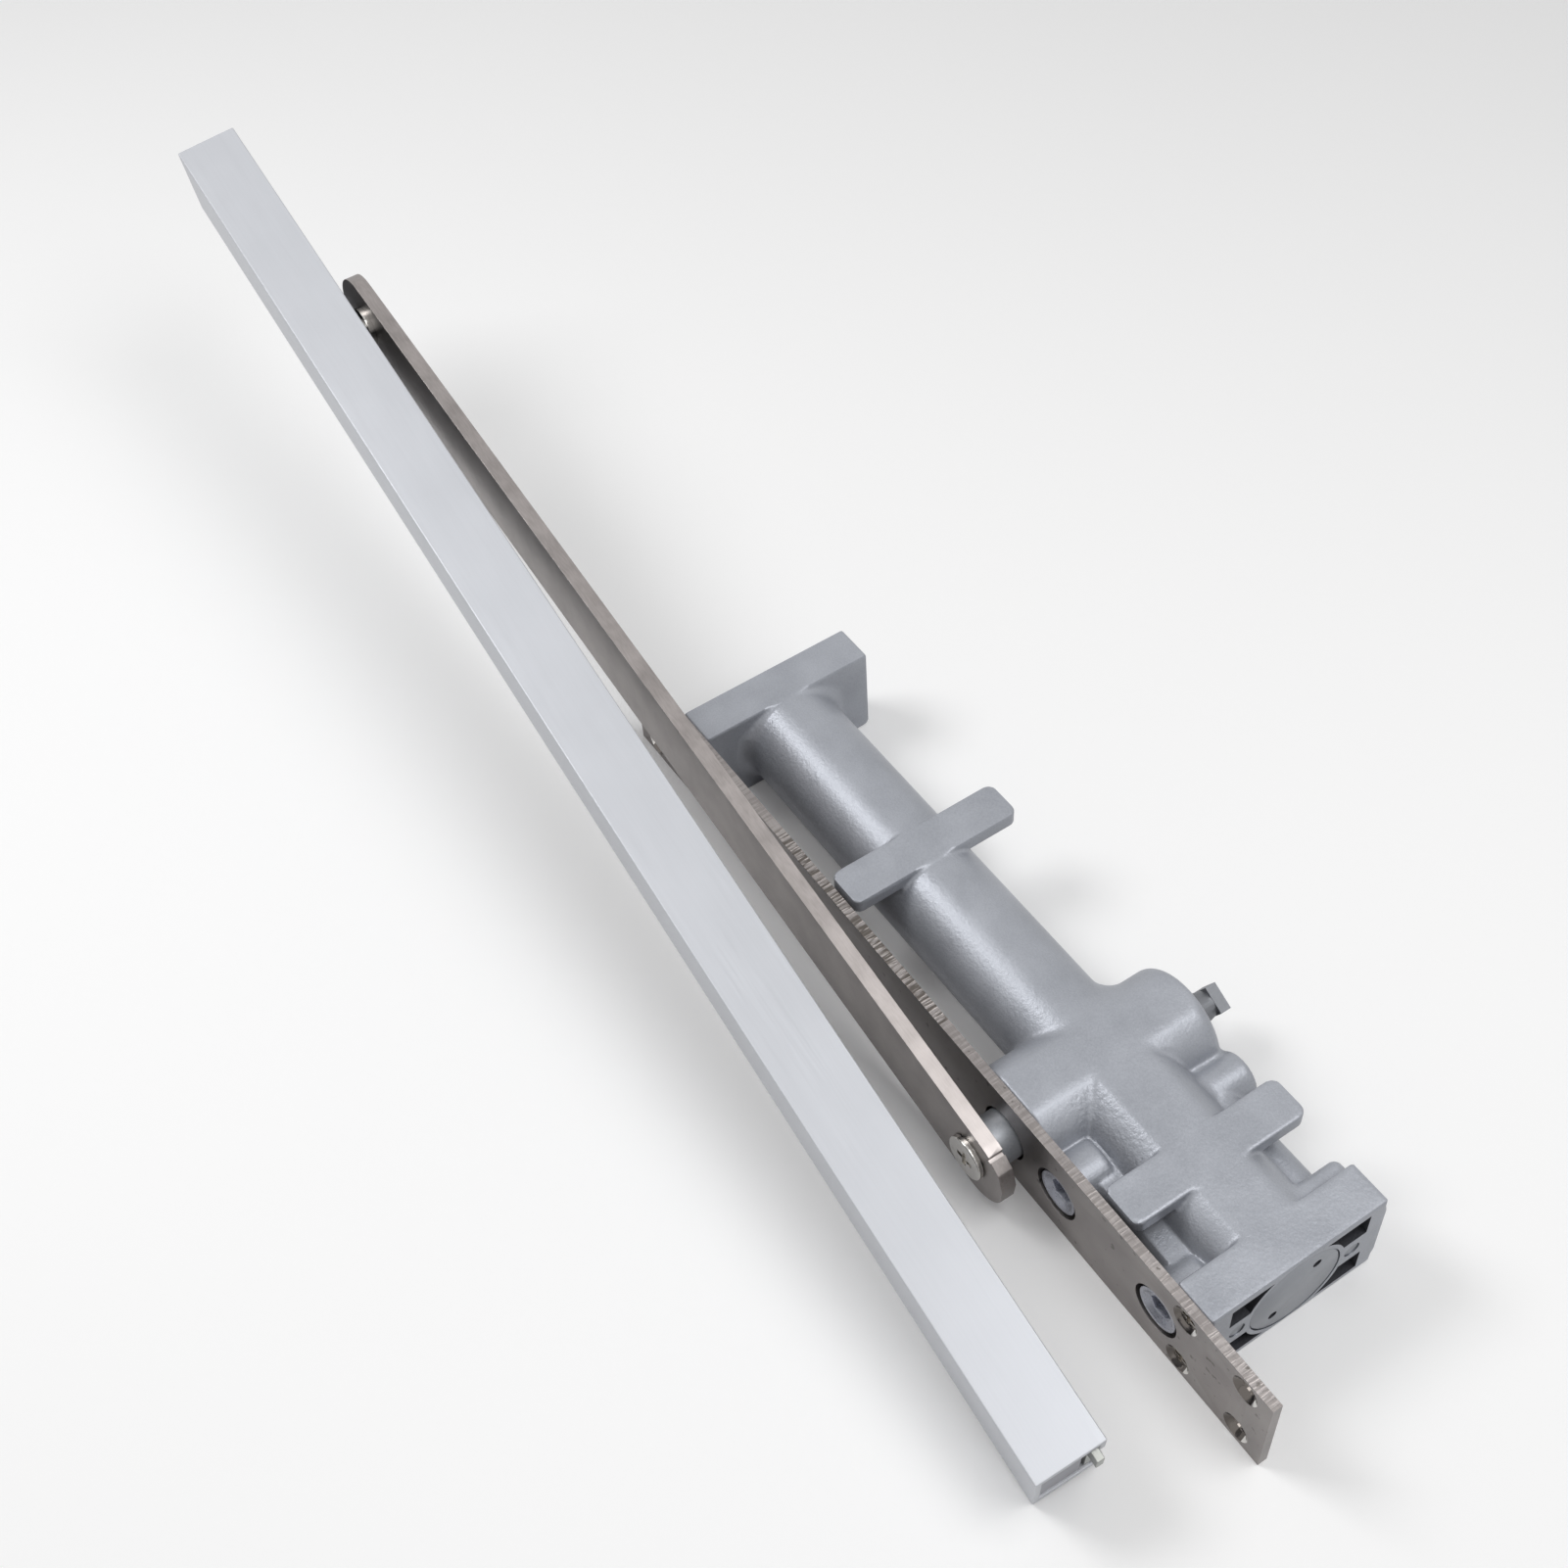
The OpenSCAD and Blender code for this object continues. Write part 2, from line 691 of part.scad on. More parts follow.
// A valve screw with a hexagon socket, its ring groove and its tapered tip
module valve_screw(x) {
  on_y(x, 0) difference() {
    union() {
      translate([0, 0, valve_head_top])
        cylinder(d = valve_d, h = valve_head_end - end_fit / 2 - valve_head_top);
      translate([0, 0, valve_head_end - join])
        cylinder(d = valve_stem_d, h = valve_depth - valve_tip_l - valve_head_end + join);
      translate([0, 0, valve_depth - valve_tip_l])
        cylinder(d1 = valve_stem_d, d2 = channel_d, h = valve_tip_l);
    }
    translate([0, 0, valve_head_end + valve_groove_in]) difference() {
      cylinder(d = valve_stem_d + 2 * cut, h = valve_groove_l);
      translate([0, 0, -cut])
        cylinder(d = valve_stem_d - 2 * valve_groove_deep, h = valve_groove_l + 2 * cut);
    }
    translate([0, 0, valve_head_top - cut])
      cylinder(d = valve_socket / cos(30), h = valve_socket_deep + cut, $fn = 6);
  }
}

// The rubber ring in a valve's groove
module valve_ring(x) {
  inner_d = valve_stem_d - 2 * (valve_groove_deep - groove_gap);
  on_y(x, valve_head_end + valve_groove_in + groove_gap) difference() {
    cylinder(d = valve_stem_d, h = valve_groove_l - 2 * groove_gap);
    translate([0, 0, -cut]) cylinder(d = inner_d, h = valve_groove_l + 2 * cut);
  }
}

module closing_valve() { color("#b9bbbe") valve_screw(valve_xs[0]); }

module closing_valve_ring() { color("#222222") valve_ring(valve_xs[0]); }

module latching_valve() { color("#b9bbbe") valve_screw(valve_xs[1]); }

module latching_valve_ring() { color("#222222") valve_ring(valve_xs[1]); }

// Outline of the rack's teeth in the x-z plane, the tooth spaces cut out of the piston
module rack_spaces() {
  half_gap = tooth_pitch / 4 + backlash / 2;
  slope = tan(tooth_angle);
  depth = rack_root - rack_tip;
  top = half_gap + (pitch_r - rack_tip) * slope;
  bottom = half_gap - (rack_root - pitch_r) * slope;
  first = ceil((window_start - spindle_x) / tooth_pitch);
  last = floor((window_end - spindle_x) / tooth_pitch);
  for (k = [first - 1:last + 1])
    translate([spindle_x + k * tooth_pitch, -rack_tip])
      polygon([[-top, eps], [-bottom, -depth], [bottom, -depth], [top, eps]]);
}

// The window through the piston along Y, bounded below by the rack
module piston_window() {
  translate([window_start, -rack_tip]) square([window_end - window_start, rack_tip + window_top]);
  intersection() {
    rack_spaces();
    translate([window_start, -rack_root - cut])
      square([window_end - window_start, rack_root + cut]);
  }
}

module piston() {
  color("#a3a6a9") difference() {
    on_x(piston_start, axis_y) cylinder(r = piston_r, h = piston_end - piston_start, $fn = fine);
    translate([0, axis_y + bore_d, 0]) rotate([90, 0, 0])
      linear_extrude(2 * bore_d) piston_window();
    on_x(piston_end - piston_ring_in, axis_y) ring_groove(2 * piston_r);
    on_x(window_end - cut, axis_y)
      cylinder(d = check_hole_d, h = piston_head_l + 2 * cut, $fn = 32);
    on_x(piston_end - check_pocket_l, axis_y)
      cylinder(d = check_pocket_d, h = check_pocket_l + cut, $fn = 48);
  }
}

module piston_ring() {
  color("#222222") on_x(piston_end - piston_ring_in + groove_gap, axis_y)
    groove_ring(2 * piston_r);
}

module check_ball() {
  color("#c8cacc")
    translate([piston_end - check_pocket_l + check_ball_d / 2 + seat_fit, axis_y, 0])
      sphere(d = check_ball_d, $fn = 48);
}

module check_cap() {
  color("#8f9296") on_x(piston_end - check_cap_t, axis_y) difference() {
    cylinder(d = check_pocket_d - 2 * seat_fit, h = check_cap_t - end_fit / 2, $fn = 48);
    translate([0, 0, -cut]) cylinder(d = check_hole_d, h = check_cap_t + 2 * cut, $fn = 32);
  }
}

// The return spring inside the tube, drawn as the sleeve that its coils fill
module return_spring() {
  color("#6d6f72") on_x(spring_start, axis_y) difference() {
    cylinder(d = spring_d, h = spring_end - spring_start);
    translate([0, 0, -cut])
      cylinder(d = spring_d - 2 * spring_wire, h = spring_end - spring_start + 2 * cut);
  }
}

module spring_seat() {
  color("#8f9296") on_x(bore_start + end_fit / 2, axis_y)
    cylinder(d = bore_d - 2 * seat_fit, h = seat_t - end_fit, $fn = fine);
}

// Outline of the arm seen along Y, from the spindle towards -X
module arm_outline() {
  end_r = arm_w / 2;
  tail_mid = arm_tail - end_r;
  translate([tail_mid, 0]) circle(r = end_r, $fn = fine);
  translate([end_r - arm_reach, -end_r]) square([arm_reach - end_r + tail_mid, arm_w]);
  translate([end_r - arm_reach, 0]) circle(r = end_r, $fn = 96);
}

module arm() {
  hole = drive_square + 2 * seat_fit;
  color("#a39e9a") translate([spindle_x, 0, 0]) rotate([0, arm_pitch, 0]) difference() {
    translate([0, arm_inner, 0]) rotate([90, 0, 0]) linear_extrude(arm_t) arm_outline();
    translate([-hole / 2, arm_outer - cut, -hole / 2]) cube([hole, arm_t + 2 * cut, hole]);
    on_y(pin_inset - arm_reach, arm_outer - cut)
      cylinder(d = rivet_d + 2 * seat_fit, h = arm_t + 2 * cut);
  }
}

// A plain washer between the arm and the screw's head
module arm_washer() {
  color("#a9abad") on_y(spindle_x, arm_outer - washer_t) difference() {
    cylinder(d = arm_screw_d - 2 * free_fit, h = washer_t, $fn = fine);
    translate([0, 0, -cut]) cylinder(d = arm_thread_d + 2 * free_fit, h = washer_t + 2 * cut);
  }
}

// Pan head screw that clamps the arm on the spindle's square
module arm_screw() {
  head_y = arm_outer - washer_t - arm_screw_h;
  thread_l = washer_t + free_fit - end_fit / 2;
  color("#cfcecb") on_y(spindle_x, head_y) difference() {
    union() {
      translate([0, 0, arm_screw_h]) mirror([0, 0, 1])
        round_end(arm_screw_d, arm_screw_h, arm_screw_dome);
      translate([0, 0, arm_screw_h - join]) cylinder(d = arm_thread_d, h = thread_l + join);
    }
    cross_recess(arm_cross_l, arm_cross_w, arm_cross_deep);
  }
}

// Riveted pin with a shoulder, a neck through the slot and a ball for the slider
module guide_pin() {
  neck_end = track_y - ball_depth;
  color("#d2d1ce") translate([pin_x, 0, pin_z]) union() {
    on_y(0, arm_outer - eps) cylinder(d = rivet_d, h = arm_t + rivet_out);
    on_y(0, arm_outer - shoulder_h) cylinder(d = shoulder_d, h = shoulder_h, $fn = fine);
    on_y(0, neck_end) cylinder(d = neck_d, h = arm_outer - neck_end);
    translate([0, neck_end, 0]) sphere(d = ball_d, $fn = fine);
  }
}

module slider() {
  color("#3c3d3f") translate([pin_x, track_y - ball_depth, pin_z]) rotate(track_tilt)
    difference() {
      translate([-slider_l / 2, -slider_t / 2, -slider_w / 2])
        cube([slider_l, slider_t, slider_w]);
      on_y(0, -slider_t) cylinder(d = slider_hole_d, h = 2 * slider_t);
    }
}

// Places a shape in the track's frame: the pin crosses the slot at its origin,
// +X runs to the near end and +Y towards the arm
module in_track() {
  translate([pin_x, track_y, pin_z]) rotate(track_tilt) children();
}

// Section of the track, seen along its length
module track_section() {
  difference() {
    translate([-track_d, -track_w / 2]) square([track_d, track_w]);
    translate([-track_d + track_wall, -inner_w / 2])
      square([track_d - 2 * track_wall, inner_w]);
    translate([-track_wall - cut, -slot_w / 2]) square([track_wall + 2 * cut, slot_w]);
  }
}

module track() {
  color("#cfd0d4") in_track() translate([-track_far, 0, 0]) rotate([90, 0, 90])
    linear_extrude(track_l) track_section();
}

// Draws children at the track's near end and, turned round, at its far end,
// with +X out of the end and the origin on the end's face
module at_track_ends() {
  in_track() {
    translate([track_near, 0, 0]) children(0);
    translate([-track_far, 0, 0]) mirror([1, 0, 0]) children($children - 1);
  }
}

// The block that stops the slider, seated on the track's web
module stop_block() {
  difference() {
    translate([-stop_l, stop_y, -stop_w / 2])
      cube([stop_l - stop_set_back, stop_t, stop_w]);
    on_y(-stop_l / 2, stop_y - cut)
      cylinder(d = set_screw_d + 2 * seat_fit, h = stop_t + 2 * cut);
  }
}

module stop_blocks() {
  color("#8e9095") at_track_ends() stop_block();
}

// The plate that the set screw presses against the track's lips, with its tongue on one side
module clamp_plate(out) {
  difference() {
    translate([-stop_l, tongue_y, -stop_w / 2]) cube([stop_l + out, tongue_t, stop_w]);
    on_y(-stop_l / 2, tongue_y - cut)
      cylinder(d = set_screw_d + 2 * seat_fit, h = tongue_t + 2 * cut);
    translate([-stop_set_back, tongue_y - cut, -stop_w / 2 - cut])
      cube([out + stop_set_back + cut, tongue_t + 2 * cut, stop_w - tongue_w + cut]);
  }
}

module clamp_plates() {
  color("#c3c5c0") at_track_ends() {
    clamp_plate(tongue_out);
    clamp_plate(-stop_set_back);
  }
}

// A set screw with a hexagon socket towards the slot
module set_screw() {
  socket = set_screw_d / 2;
  screw_l = tongue_y + tongue_t - stop_y - seat_fit;
  on_y(-stop_l / 2, stop_y + seat_fit) difference() {
    cylinder(d = set_screw_d, h = screw_l);
    translate([0, 0, screw_l - set_socket_deep])
      cylinder(d = socket / cos(30), h = set_socket_deep + cut, $fn = 6);
  }
}

module set_screws() {
  color("#6f7174") at_track_ends() set_screw();
}

housing();
face_plate();
plate_screws();
end_plug();
end_plug_ring();
channel_plugs();
spindle();
front_bearing();
rear_bearing();
front_seal();
rear_seal();
gland();
closing_valve();
closing_valve_ring();
latching_valve();
latching_valve_ring();
piston();
piston_ring();
check_ball();
check_cap();
return_spring();
spring_seat();
arm();
arm_screw();
arm_washer();
guide_pin();
slider();
track();
stop_blocks();
clamp_plates();
set_screws();
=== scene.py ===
# Looks for the concealed hydraulic door closer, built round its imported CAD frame
import math
import bmesh
import bpy
import numpy as np
from mathutils import Matrix, Vector


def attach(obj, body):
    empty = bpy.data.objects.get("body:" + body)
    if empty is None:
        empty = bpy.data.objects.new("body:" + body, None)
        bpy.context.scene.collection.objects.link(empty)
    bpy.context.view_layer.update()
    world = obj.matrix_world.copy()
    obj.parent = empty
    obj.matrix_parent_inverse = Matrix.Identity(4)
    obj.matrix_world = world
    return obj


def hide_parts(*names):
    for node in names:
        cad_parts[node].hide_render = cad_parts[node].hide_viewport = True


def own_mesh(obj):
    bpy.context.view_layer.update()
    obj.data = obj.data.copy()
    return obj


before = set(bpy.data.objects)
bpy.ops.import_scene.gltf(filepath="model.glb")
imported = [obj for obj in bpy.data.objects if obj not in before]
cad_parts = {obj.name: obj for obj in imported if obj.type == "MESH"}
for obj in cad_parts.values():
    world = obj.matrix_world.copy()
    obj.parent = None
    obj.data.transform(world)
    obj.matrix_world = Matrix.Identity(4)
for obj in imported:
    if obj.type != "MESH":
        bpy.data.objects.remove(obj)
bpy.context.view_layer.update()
mm = 0.001
armPitch = 11.8                 # degrees, the closed arm above the plate
plateScrew = (114.3, 11.0)      # x and z of the plate's screws, either way from the middle
plateFace = -3.0                # y of the plate's outer face

# One helper for colours and one for nodes


def linear(hexColor):
    # sRGB hex to linear: c/12.92 below 0.04045, else ((c+0.055)/1.055)^2.4
    c = np.array([int(hexColor[i:i + 2], 16) / 255 for i in (0, 2, 4)])
    c = np.where(c <= 0.04045, c / 12.92, ((c + 0.055) / 1.055) ** 2.4)
    return (*[float(v) for v in c], 1.0)


def addNode(tree, kind, inputs=None, **settings):
    # adds a node, sets its properties, then sets or links each named input
    node = tree.nodes.new(kind)
    for key, value in settings.items():
        setattr(node, key, value)
    for key, value in (inputs or {}).items():
        if isinstance(value, bpy.types.NodeSocket):
            tree.links.new(value, node.inputs[key])
        else:
            node.inputs[key].default_value = value
    return node


def newMaterial(name):
    # an empty node material with its output and shader, and the object's own coordinates
    material = bpy.data.materials.new(name)
    material.use_nodes = True
    tree = material.node_tree
    tree.nodes.clear()
    shader = addNode(tree, "ShaderNodeBsdfPrincipled")
    addNode(tree, "ShaderNodeOutputMaterial", {"Surface": shader.outputs["BSDF"]})
    place = addNode(tree, "ShaderNodeTexCoord").outputs["Object"]
    return material, tree, shader, place


# Camera, fitted to the photograph's straight edges

cameraFit = {
    "place": (0.26334, -0.18600, 0.49949),
    "azimuth": 60.32,       # degrees, from +Y towards -X
    "elevation": 50.80,     # degrees down
    "roll": -5.08,
    "focal": 2182.2,        # pixels of a 1601 pixel wide frame
    "frame": 1601,
}


def placeCamera(fit):
    # the three axes follow from azimuth, elevation and roll; the lens from focal over frame
    az, el, roll = (math.radians(fit[k]) for k in ("azimuth", "elevation", "roll"))
    ahead = np.array([-math.sin(az) * math.cos(el), math.cos(az) * math.cos(el), -math.sin(el)])
    right = np.array([math.cos(az), math.sin(az), 0])
    down = np.cross(ahead, right)
    right, down = (math.cos(roll) * right - math.sin(roll) * down,
                   math.sin(roll) * right + math.cos(roll) * down)
    data = bpy.data.cameras.new("photoCamera")
    data.sensor_width = 36
    data.lens = fit["focal"] / fit["frame"] * data.sensor_width
    data.clip_start = 0.01
    camera = bpy.data.objects.new("photoCamera", data)
    bpy.context.scene.collection.objects.link(camera)
    turn = Matrix([list(right), list(-down), list(-ahead)]).transposed()
    camera.matrix_world = Matrix.Translation(fit["place"]) @ turn.to_4x4()
    bpy.context.scene.camera = camera


placeCamera(cameraFit)
print("camera placed")

# Shapes as whole arrays


def newPiece(name, points, faces, materials, which=None):
    # a mesh object from an array of points in mm and an array of faces of one size
    mesh = bpy.data.meshes.new(name)
    points, faces = np.asarray(points, float), np.asarray(faces, int)
    mesh.vertices.add(len(points))
    mesh.vertices.foreach_set("co", (points * mm).ravel())
    mesh.loops.add(faces.size)
    mesh.loops.foreach_set("vertex_index", faces.ravel())
    mesh.polygons.add(len(faces))
    mesh.polygons.foreach_set("loop_start", np.arange(0, faces.size, faces.shape[1]))
    for material in materials:
        mesh.materials.append(material)
    if which is not None:
        mesh.polygons.foreach_set("material_index", np.asarray(which, np.int32))
    mesh.update(calc_edges=True)
    piece = bpy.data.objects.new(name, mesh)
    bpy.context.scene.collection.objects.link(piece)
    return piece


def sweptFaces(rows, sides):
    # triangles over rows of points that each close into a ring, then over the two ends, whose
    # middle points come after the last row
    i, j = np.meshgrid(np.arange(rows - 1), np.arange(sides), indexing="ij")
    k = (j + 1) % sides
    a, b, c, d = i * sides + j, (i + 1) * sides + j, (i + 1) * sides + k, i * sides + k
    s = np.arange(sides)
    n = (s + 1) % sides
    last = (rows - 1) * sides
    start = np.stack([np.full(sides, rows * sides), s, n], -1)
    end = np.stack([np.full(sides, rows * sides + 1), last + n, last + s], -1)
    return np.concatenate([np.stack([a, b, c], -1).reshape(-1, 3),
                           np.stack([a, c, d], -1).reshape(-1, 3), start, end])


def turned(profile, sides=64):
    # a profile of (along, radius) pairs carried round an axis: along is kept as the first
    # coordinate, (radius cos t, radius sin t) are the other two, and each end closes to its middle
    along, radius = np.asarray(profile, float).T
    t = np.linspace(0, 2 * np.pi, sides, endpoint=False)
    ring = np.stack([np.repeat(along[:, None], sides, 1),
                     radius[:, None] * np.cos(t), radius[:, None] * np.sin(t)], -1).reshape(-1, 3)
    points = np.vstack([ring, [[along[0], 0, 0], [along[-1], 0, 0]]])
    return points, sweptFaces(len(along), sides)[:, ::-1]


def towardsY(shape, x, z=0):
    # turns (along, u, v) so that along runs on +Y through x and z
    points, faces = shape
    return np.stack([points[:, 2] + x, points[:, 0], points[:, 1] + z], -1), faces


def towardsX(shape, y, z=0):
    # keeps along on +X and moves it to run through y and z
    points, faces = shape
    return points + [0, y, z], faces


def prism(outline, low, high):
    # an outline of (y, z) pairs, anticlockwise seen from +X, carried along X, with fan ends
    outline = np.asarray(outline, float)
    n = len(outline)
    points = np.vstack([np.insert(outline, 0, low, 1), np.insert(outline, 0, high, 1)])
    i = np.arange(n)
    j = (i + 1) % n
    walls = np.concatenate([np.stack([i, j, j + n], -1), np.stack([i, j + n, i + n], -1)])
    m = np.arange(1, n - 1)
    first = np.stack([np.zeros(n - 2, int), m + 1, m], -1)
    second = np.stack([np.full(n - 2, n), m + n, m + 1 + n], -1)
    return points, np.concatenate([walls, first, second])


def joined(shapes):
    # several shapes as one list of points and faces
    starts = np.cumsum([0] + [len(p) for p, f in shapes[:-1]])
    return (np.vstack([p for p, f in shapes]),
            np.concatenate([f + s for (p, f), s in zip(shapes, starts)]))


# Distance fields of rounded solids, in mm: below zero inside


def filleted(a, b, radius):
    # joins two solids with a round fillet between them
    return (np.maximum(radius, np.minimum(a, b))
            - np.hypot(np.maximum(radius - a, 0), np.maximum(radius - b, 0)))


def roundedEdge(a, b, radius):
    # keeps what two solids share and rounds the edge where their faces meet
    return (np.minimum(-radius, np.maximum(a, b))
            + np.hypot(np.maximum(radius + a, 0), np.maximum(radius + b, 0)))


def roundedRectangle(u, v, halfU, halfV, corner):
    # a rectangle about the middle, its corners rounded
    du, dv = np.abs(u) - halfU + corner, np.abs(v) - halfV + corner
    return (np.hypot(np.maximum(du, 0), np.maximum(dv, 0))
            + np.minimum(np.maximum(du, dv), 0) - corner)


def between(value, low, high):
    # what lies between two planes across one axis
    return np.maximum(low - value, value - high)


casting = {
    "halfLength": 120.2, "halfWidth": 16.0, "depth": 58.0,
    "axisY": 28.8, "tubeRadius": 15.8, "tubeSpan": (-112.0, 50.0),
    "cylinderRadius": 17.7, "barrelEnd": 115.0,
    "flangeEnd": -106.8, "flangeMiddle": 19.0,
    "flangeCorners": (0.9, 2.2),                                # upper, lower corners
    "flangeFillet": (1.2, 5.0), "flangeRange": (16.0, 8.0),     # at the flats, at the sides; z
    "spindleX": 43.0, "bossRadius": 17.2, "bossFar": 58.5, "bossEdge": 4.0,
    "bossFillet": (1.2, 5.5), "bossRange": (30.0, 44.0),        # on the near side, behind; y
    "bars": (-37.6, 83.5), "barHalf": 6.6, "barThick": 5.0, "barGap": 1.4, "barCorner": 3.0,
    "barFillet": 1.0,
    "valves": (65.0, 104.7), "valveRadii": (8.7, 7.8), "valveFar": (11.5, 12.4),
    "valveDome": 2.0,
    "rearBossRadius": 7.3, "rearBossFar": 59.5, "rearBossEdge": 1.5, "rearFillet": 2.0,
    "channels": (9.9, 47.7), "channelRadius": 5.8, "channelFillet": 0.8,
    "nearRib": {"low": 3.5, "high": 13.0, "top": 5.9, "corner": 0.8, "round": 8.5,
                "end": 99.5},
    "blockStart": 107.2, "blockFar": 57.0,
    "ledgeStart": 102.0, "ledgeHeight": 12.4, "ledgeEdge": 2.5,
    "rootFillet": 1.5,      # where cast forms meet
    "edge": 0.6, "footEdge": 1.0,       # round of the outer edges, and next to the plate
    "voxel": 0.72,
}


def castingDistance(x, y, z):
    # the cast body before machining, as unions and shared parts of tubes, boxes and bosses;
    # only the cross bars and the flange's corners differ above and below
    c = casting
    above, z = z, np.abs(z)
    axis = np.hypot(y - c["axisY"], z)
    tube = np.maximum(axis - c["tubeRadius"], between(x, *c["tubeSpan"]))
    corner = np.where(above > 0, *c["flangeCorners"])
    middle = c["flangeMiddle"]
    outline = roundedRectangle(y - middle, z, c["depth"] - middle, c["halfWidth"], corner)
    flange = roundedEdge(outline, x - c["flangeEnd"], c["edge"])
    body = filleted(tube, flange, np.interp(-z, np.negative(c["flangeRange"]), c["flangeFillet"]))
    boss = roundedEdge(np.hypot(x - c["spindleX"], z) - c["bossRadius"],
                       y - c["bossFar"], c["bossEdge"])
    body = filleted(body, boss, np.interp(y, c["bossRange"], c["bossFillet"]))
    barrel = between(x, c["spindleX"], c["barrelEnd"])
    cylinder = np.maximum(axis - c["cylinderRadius"], barrel)
    body = filleted(body, cylinder, c["channelFillet"])
    for place, radius, far in zip(c["valves"], c["valveRadii"], c["valveFar"]):
        valve = roundedEdge(np.hypot(x - place, z) - radius, y - far, c["valveDome"])
        body = filleted(body, valve, c["channelFillet"])
    rear = roundedEdge(np.hypot(x - c["valves"][0], z) - c["rearBossRadius"],
                       y - c["rearBossFar"], c["rearBossEdge"])
    body = filleted(body, np.maximum(rear, c["axisY"] - y), c["rearFillet"])
    r = c["nearRib"]
    flat = roundedRectangle(y - (r["low"] + r["high"]) / 2, z, (r["high"] - r["low"]) / 2,
                            r["top"], r["corner"])
    rib = np.maximum(flat, np.hypot(y - r["low"] - r["round"], z) - r["round"])
    rib = roundedEdge(rib, between(x, c["spindleX"], r["end"]), c["edge"])
    body = filleted(body, rib, c["channelFillet"])
    channel = np.hypot(y - c["channels"][1], z) - c["channelRadius"]
    body = filleted(body, np.maximum(channel, barrel), c["channelFillet"])
    ledge = roundedEdge(z - c["ledgeHeight"], y - c["blockFar"], c["ledgeEdge"])
    ledge = roundedEdge(np.maximum(ledge, c["axisY"] - y), c["ledgeStart"] - x, c["ledgeEdge"])
    body = filleted(body, ledge, c["rootFillet"])
    block = roundedEdge(y - c["blockFar"], c["blockStart"] - x, c["edge"])
    body = filleted(body, block, c["rootFillet"])
    for middle in c["bars"]:
        low, high = c["barGap"], c["depth"]
        outline = roundedRectangle(x - middle, y - (low + high) / 2, c["barHalf"],
                                   (high - low) / 2, c["barCorner"])
        bar = roundedEdge(outline, c["halfWidth"] - c["barThick"] - above, c["edge"])
        body = filleted(body, bar, c["barFillet"])
    body = roundedEdge(body, z - c["halfWidth"], c["edge"])
    body = roundedEdge(body, np.abs(x) - c["halfLength"], c["edge"])
    return roundedEdge(body, -y, c["footEdge"])


def fieldGradient(field, points, step=0.05):
    # central differences of a field at an array of points
    shifts = np.eye(3) * step
    return np.stack([(field(*(points + s).T) - field(*(points - s).T)) / (2 * step)
                     for s in shifts], -1)


def fieldSurface(field, low, high, voxel):
    # a mesh of a field's zero surface: each grid cell that the surface crosses gets one point,
    # the mean of the crossings on its twelve edges, and each crossed grid edge gets one quad
    # from the four cells round it; the points then slide along the gradient onto the surface
    axes = [np.arange(a, b + voxel, voxel) for a, b in zip(low, high)]
    value = field(*np.meshgrid(*axes, indexing="ij"))
    inside = value < 0
    count = sum(inside[i:i + inside.shape[0] - 1, j:j + inside.shape[1] - 1,
                       k:k + inside.shape[2] - 1].astype(np.int8)
                for i in (0, 1) for j in (0, 1) for k in (0, 1))
    cells = np.argwhere((count > 0) & (count < 8))
    number = np.full(count.shape, -1)
    number[tuple(cells.T)] = np.arange(len(cells))
    corners = np.array([(i, j, k) for i in (0, 1) for j in (0, 1) for k in (0, 1)])
    total, hits = np.zeros((len(cells), 3)), np.zeros((len(cells), 1))
    for a in corners:
        for axis in range(3):
            if a[axis]:
                continue
            b = a + np.eye(3, dtype=int)[axis]
            va, vb = value[tuple((cells + a).T)], value[tuple((cells + b).T)]
            crossed = (va < 0) != (vb < 0)
            t = np.where(crossed, va / np.where(crossed, va - vb, 1), 0)
            total += np.where(crossed[:, None], a + t[:, None] * (b - a), 0)
            hits += crossed[:, None]
    points = (cells + total / hits) * voxel + np.array([a[0] for a in axes])
    slides, reach, least = 4, 0.3, 0.2      # reach in mm; the least squared slope
    for _ in range(slides):
        gradient = fieldGradient(field, points)
        length = np.maximum((gradient ** 2).sum(1), least)
        points -= gradient * (np.clip(field(*points.T), -reach, reach) / length)[:, None]
    quads = []
    for axis in range(3):
        step = np.eye(3, dtype=int)[axis]
        one, two = np.eye(3, dtype=int)[(axis + 1) % 3], np.eye(3, dtype=int)[(axis + 2) % 3]
        ends = [slice(0, n - s) for n, s in zip(inside.shape, step)]
        starts = [slice(s, n) for n, s in zip(inside.shape, step)]
        first, second = inside[tuple(ends)], inside[tuple(starts)]
        places = np.argwhere(first != second)
        rising = first[tuple(places.T)]
        quad = np.stack([number[tuple((places - shift).T)]
                         for shift in (0 * one, one, one + two, two)], -1)
        quad[~rising] = quad[~rising][:, ::-1]
        quads.append(quad)
    return points, np.concatenate(quads)


# Materials


castSkin = {        # sizes in mm; real blasting leaves a grain near 0.1, drawn coarser to show
    "grain": 0.45, "peel": 1.2, "stains": 15.0, "glossSpread": 0.04,
    "grainShare": 0.45, "peelRatio": 1.8,   # grain's share of the colour; peel's depth to its
    # the mould's coarse skin on the slope beside the closing valve
    "pocketDepth": 0.2, "pocket": (("X", 50, "GREATER_THAN"), ("X", 80, "LESS_THAN"),
                                   ("Y", 10, "GREATER_THAN"), ("Y", 24, "LESS_THAN"),
                                   ("Z", 15.2, "LESS_THAN")),
}


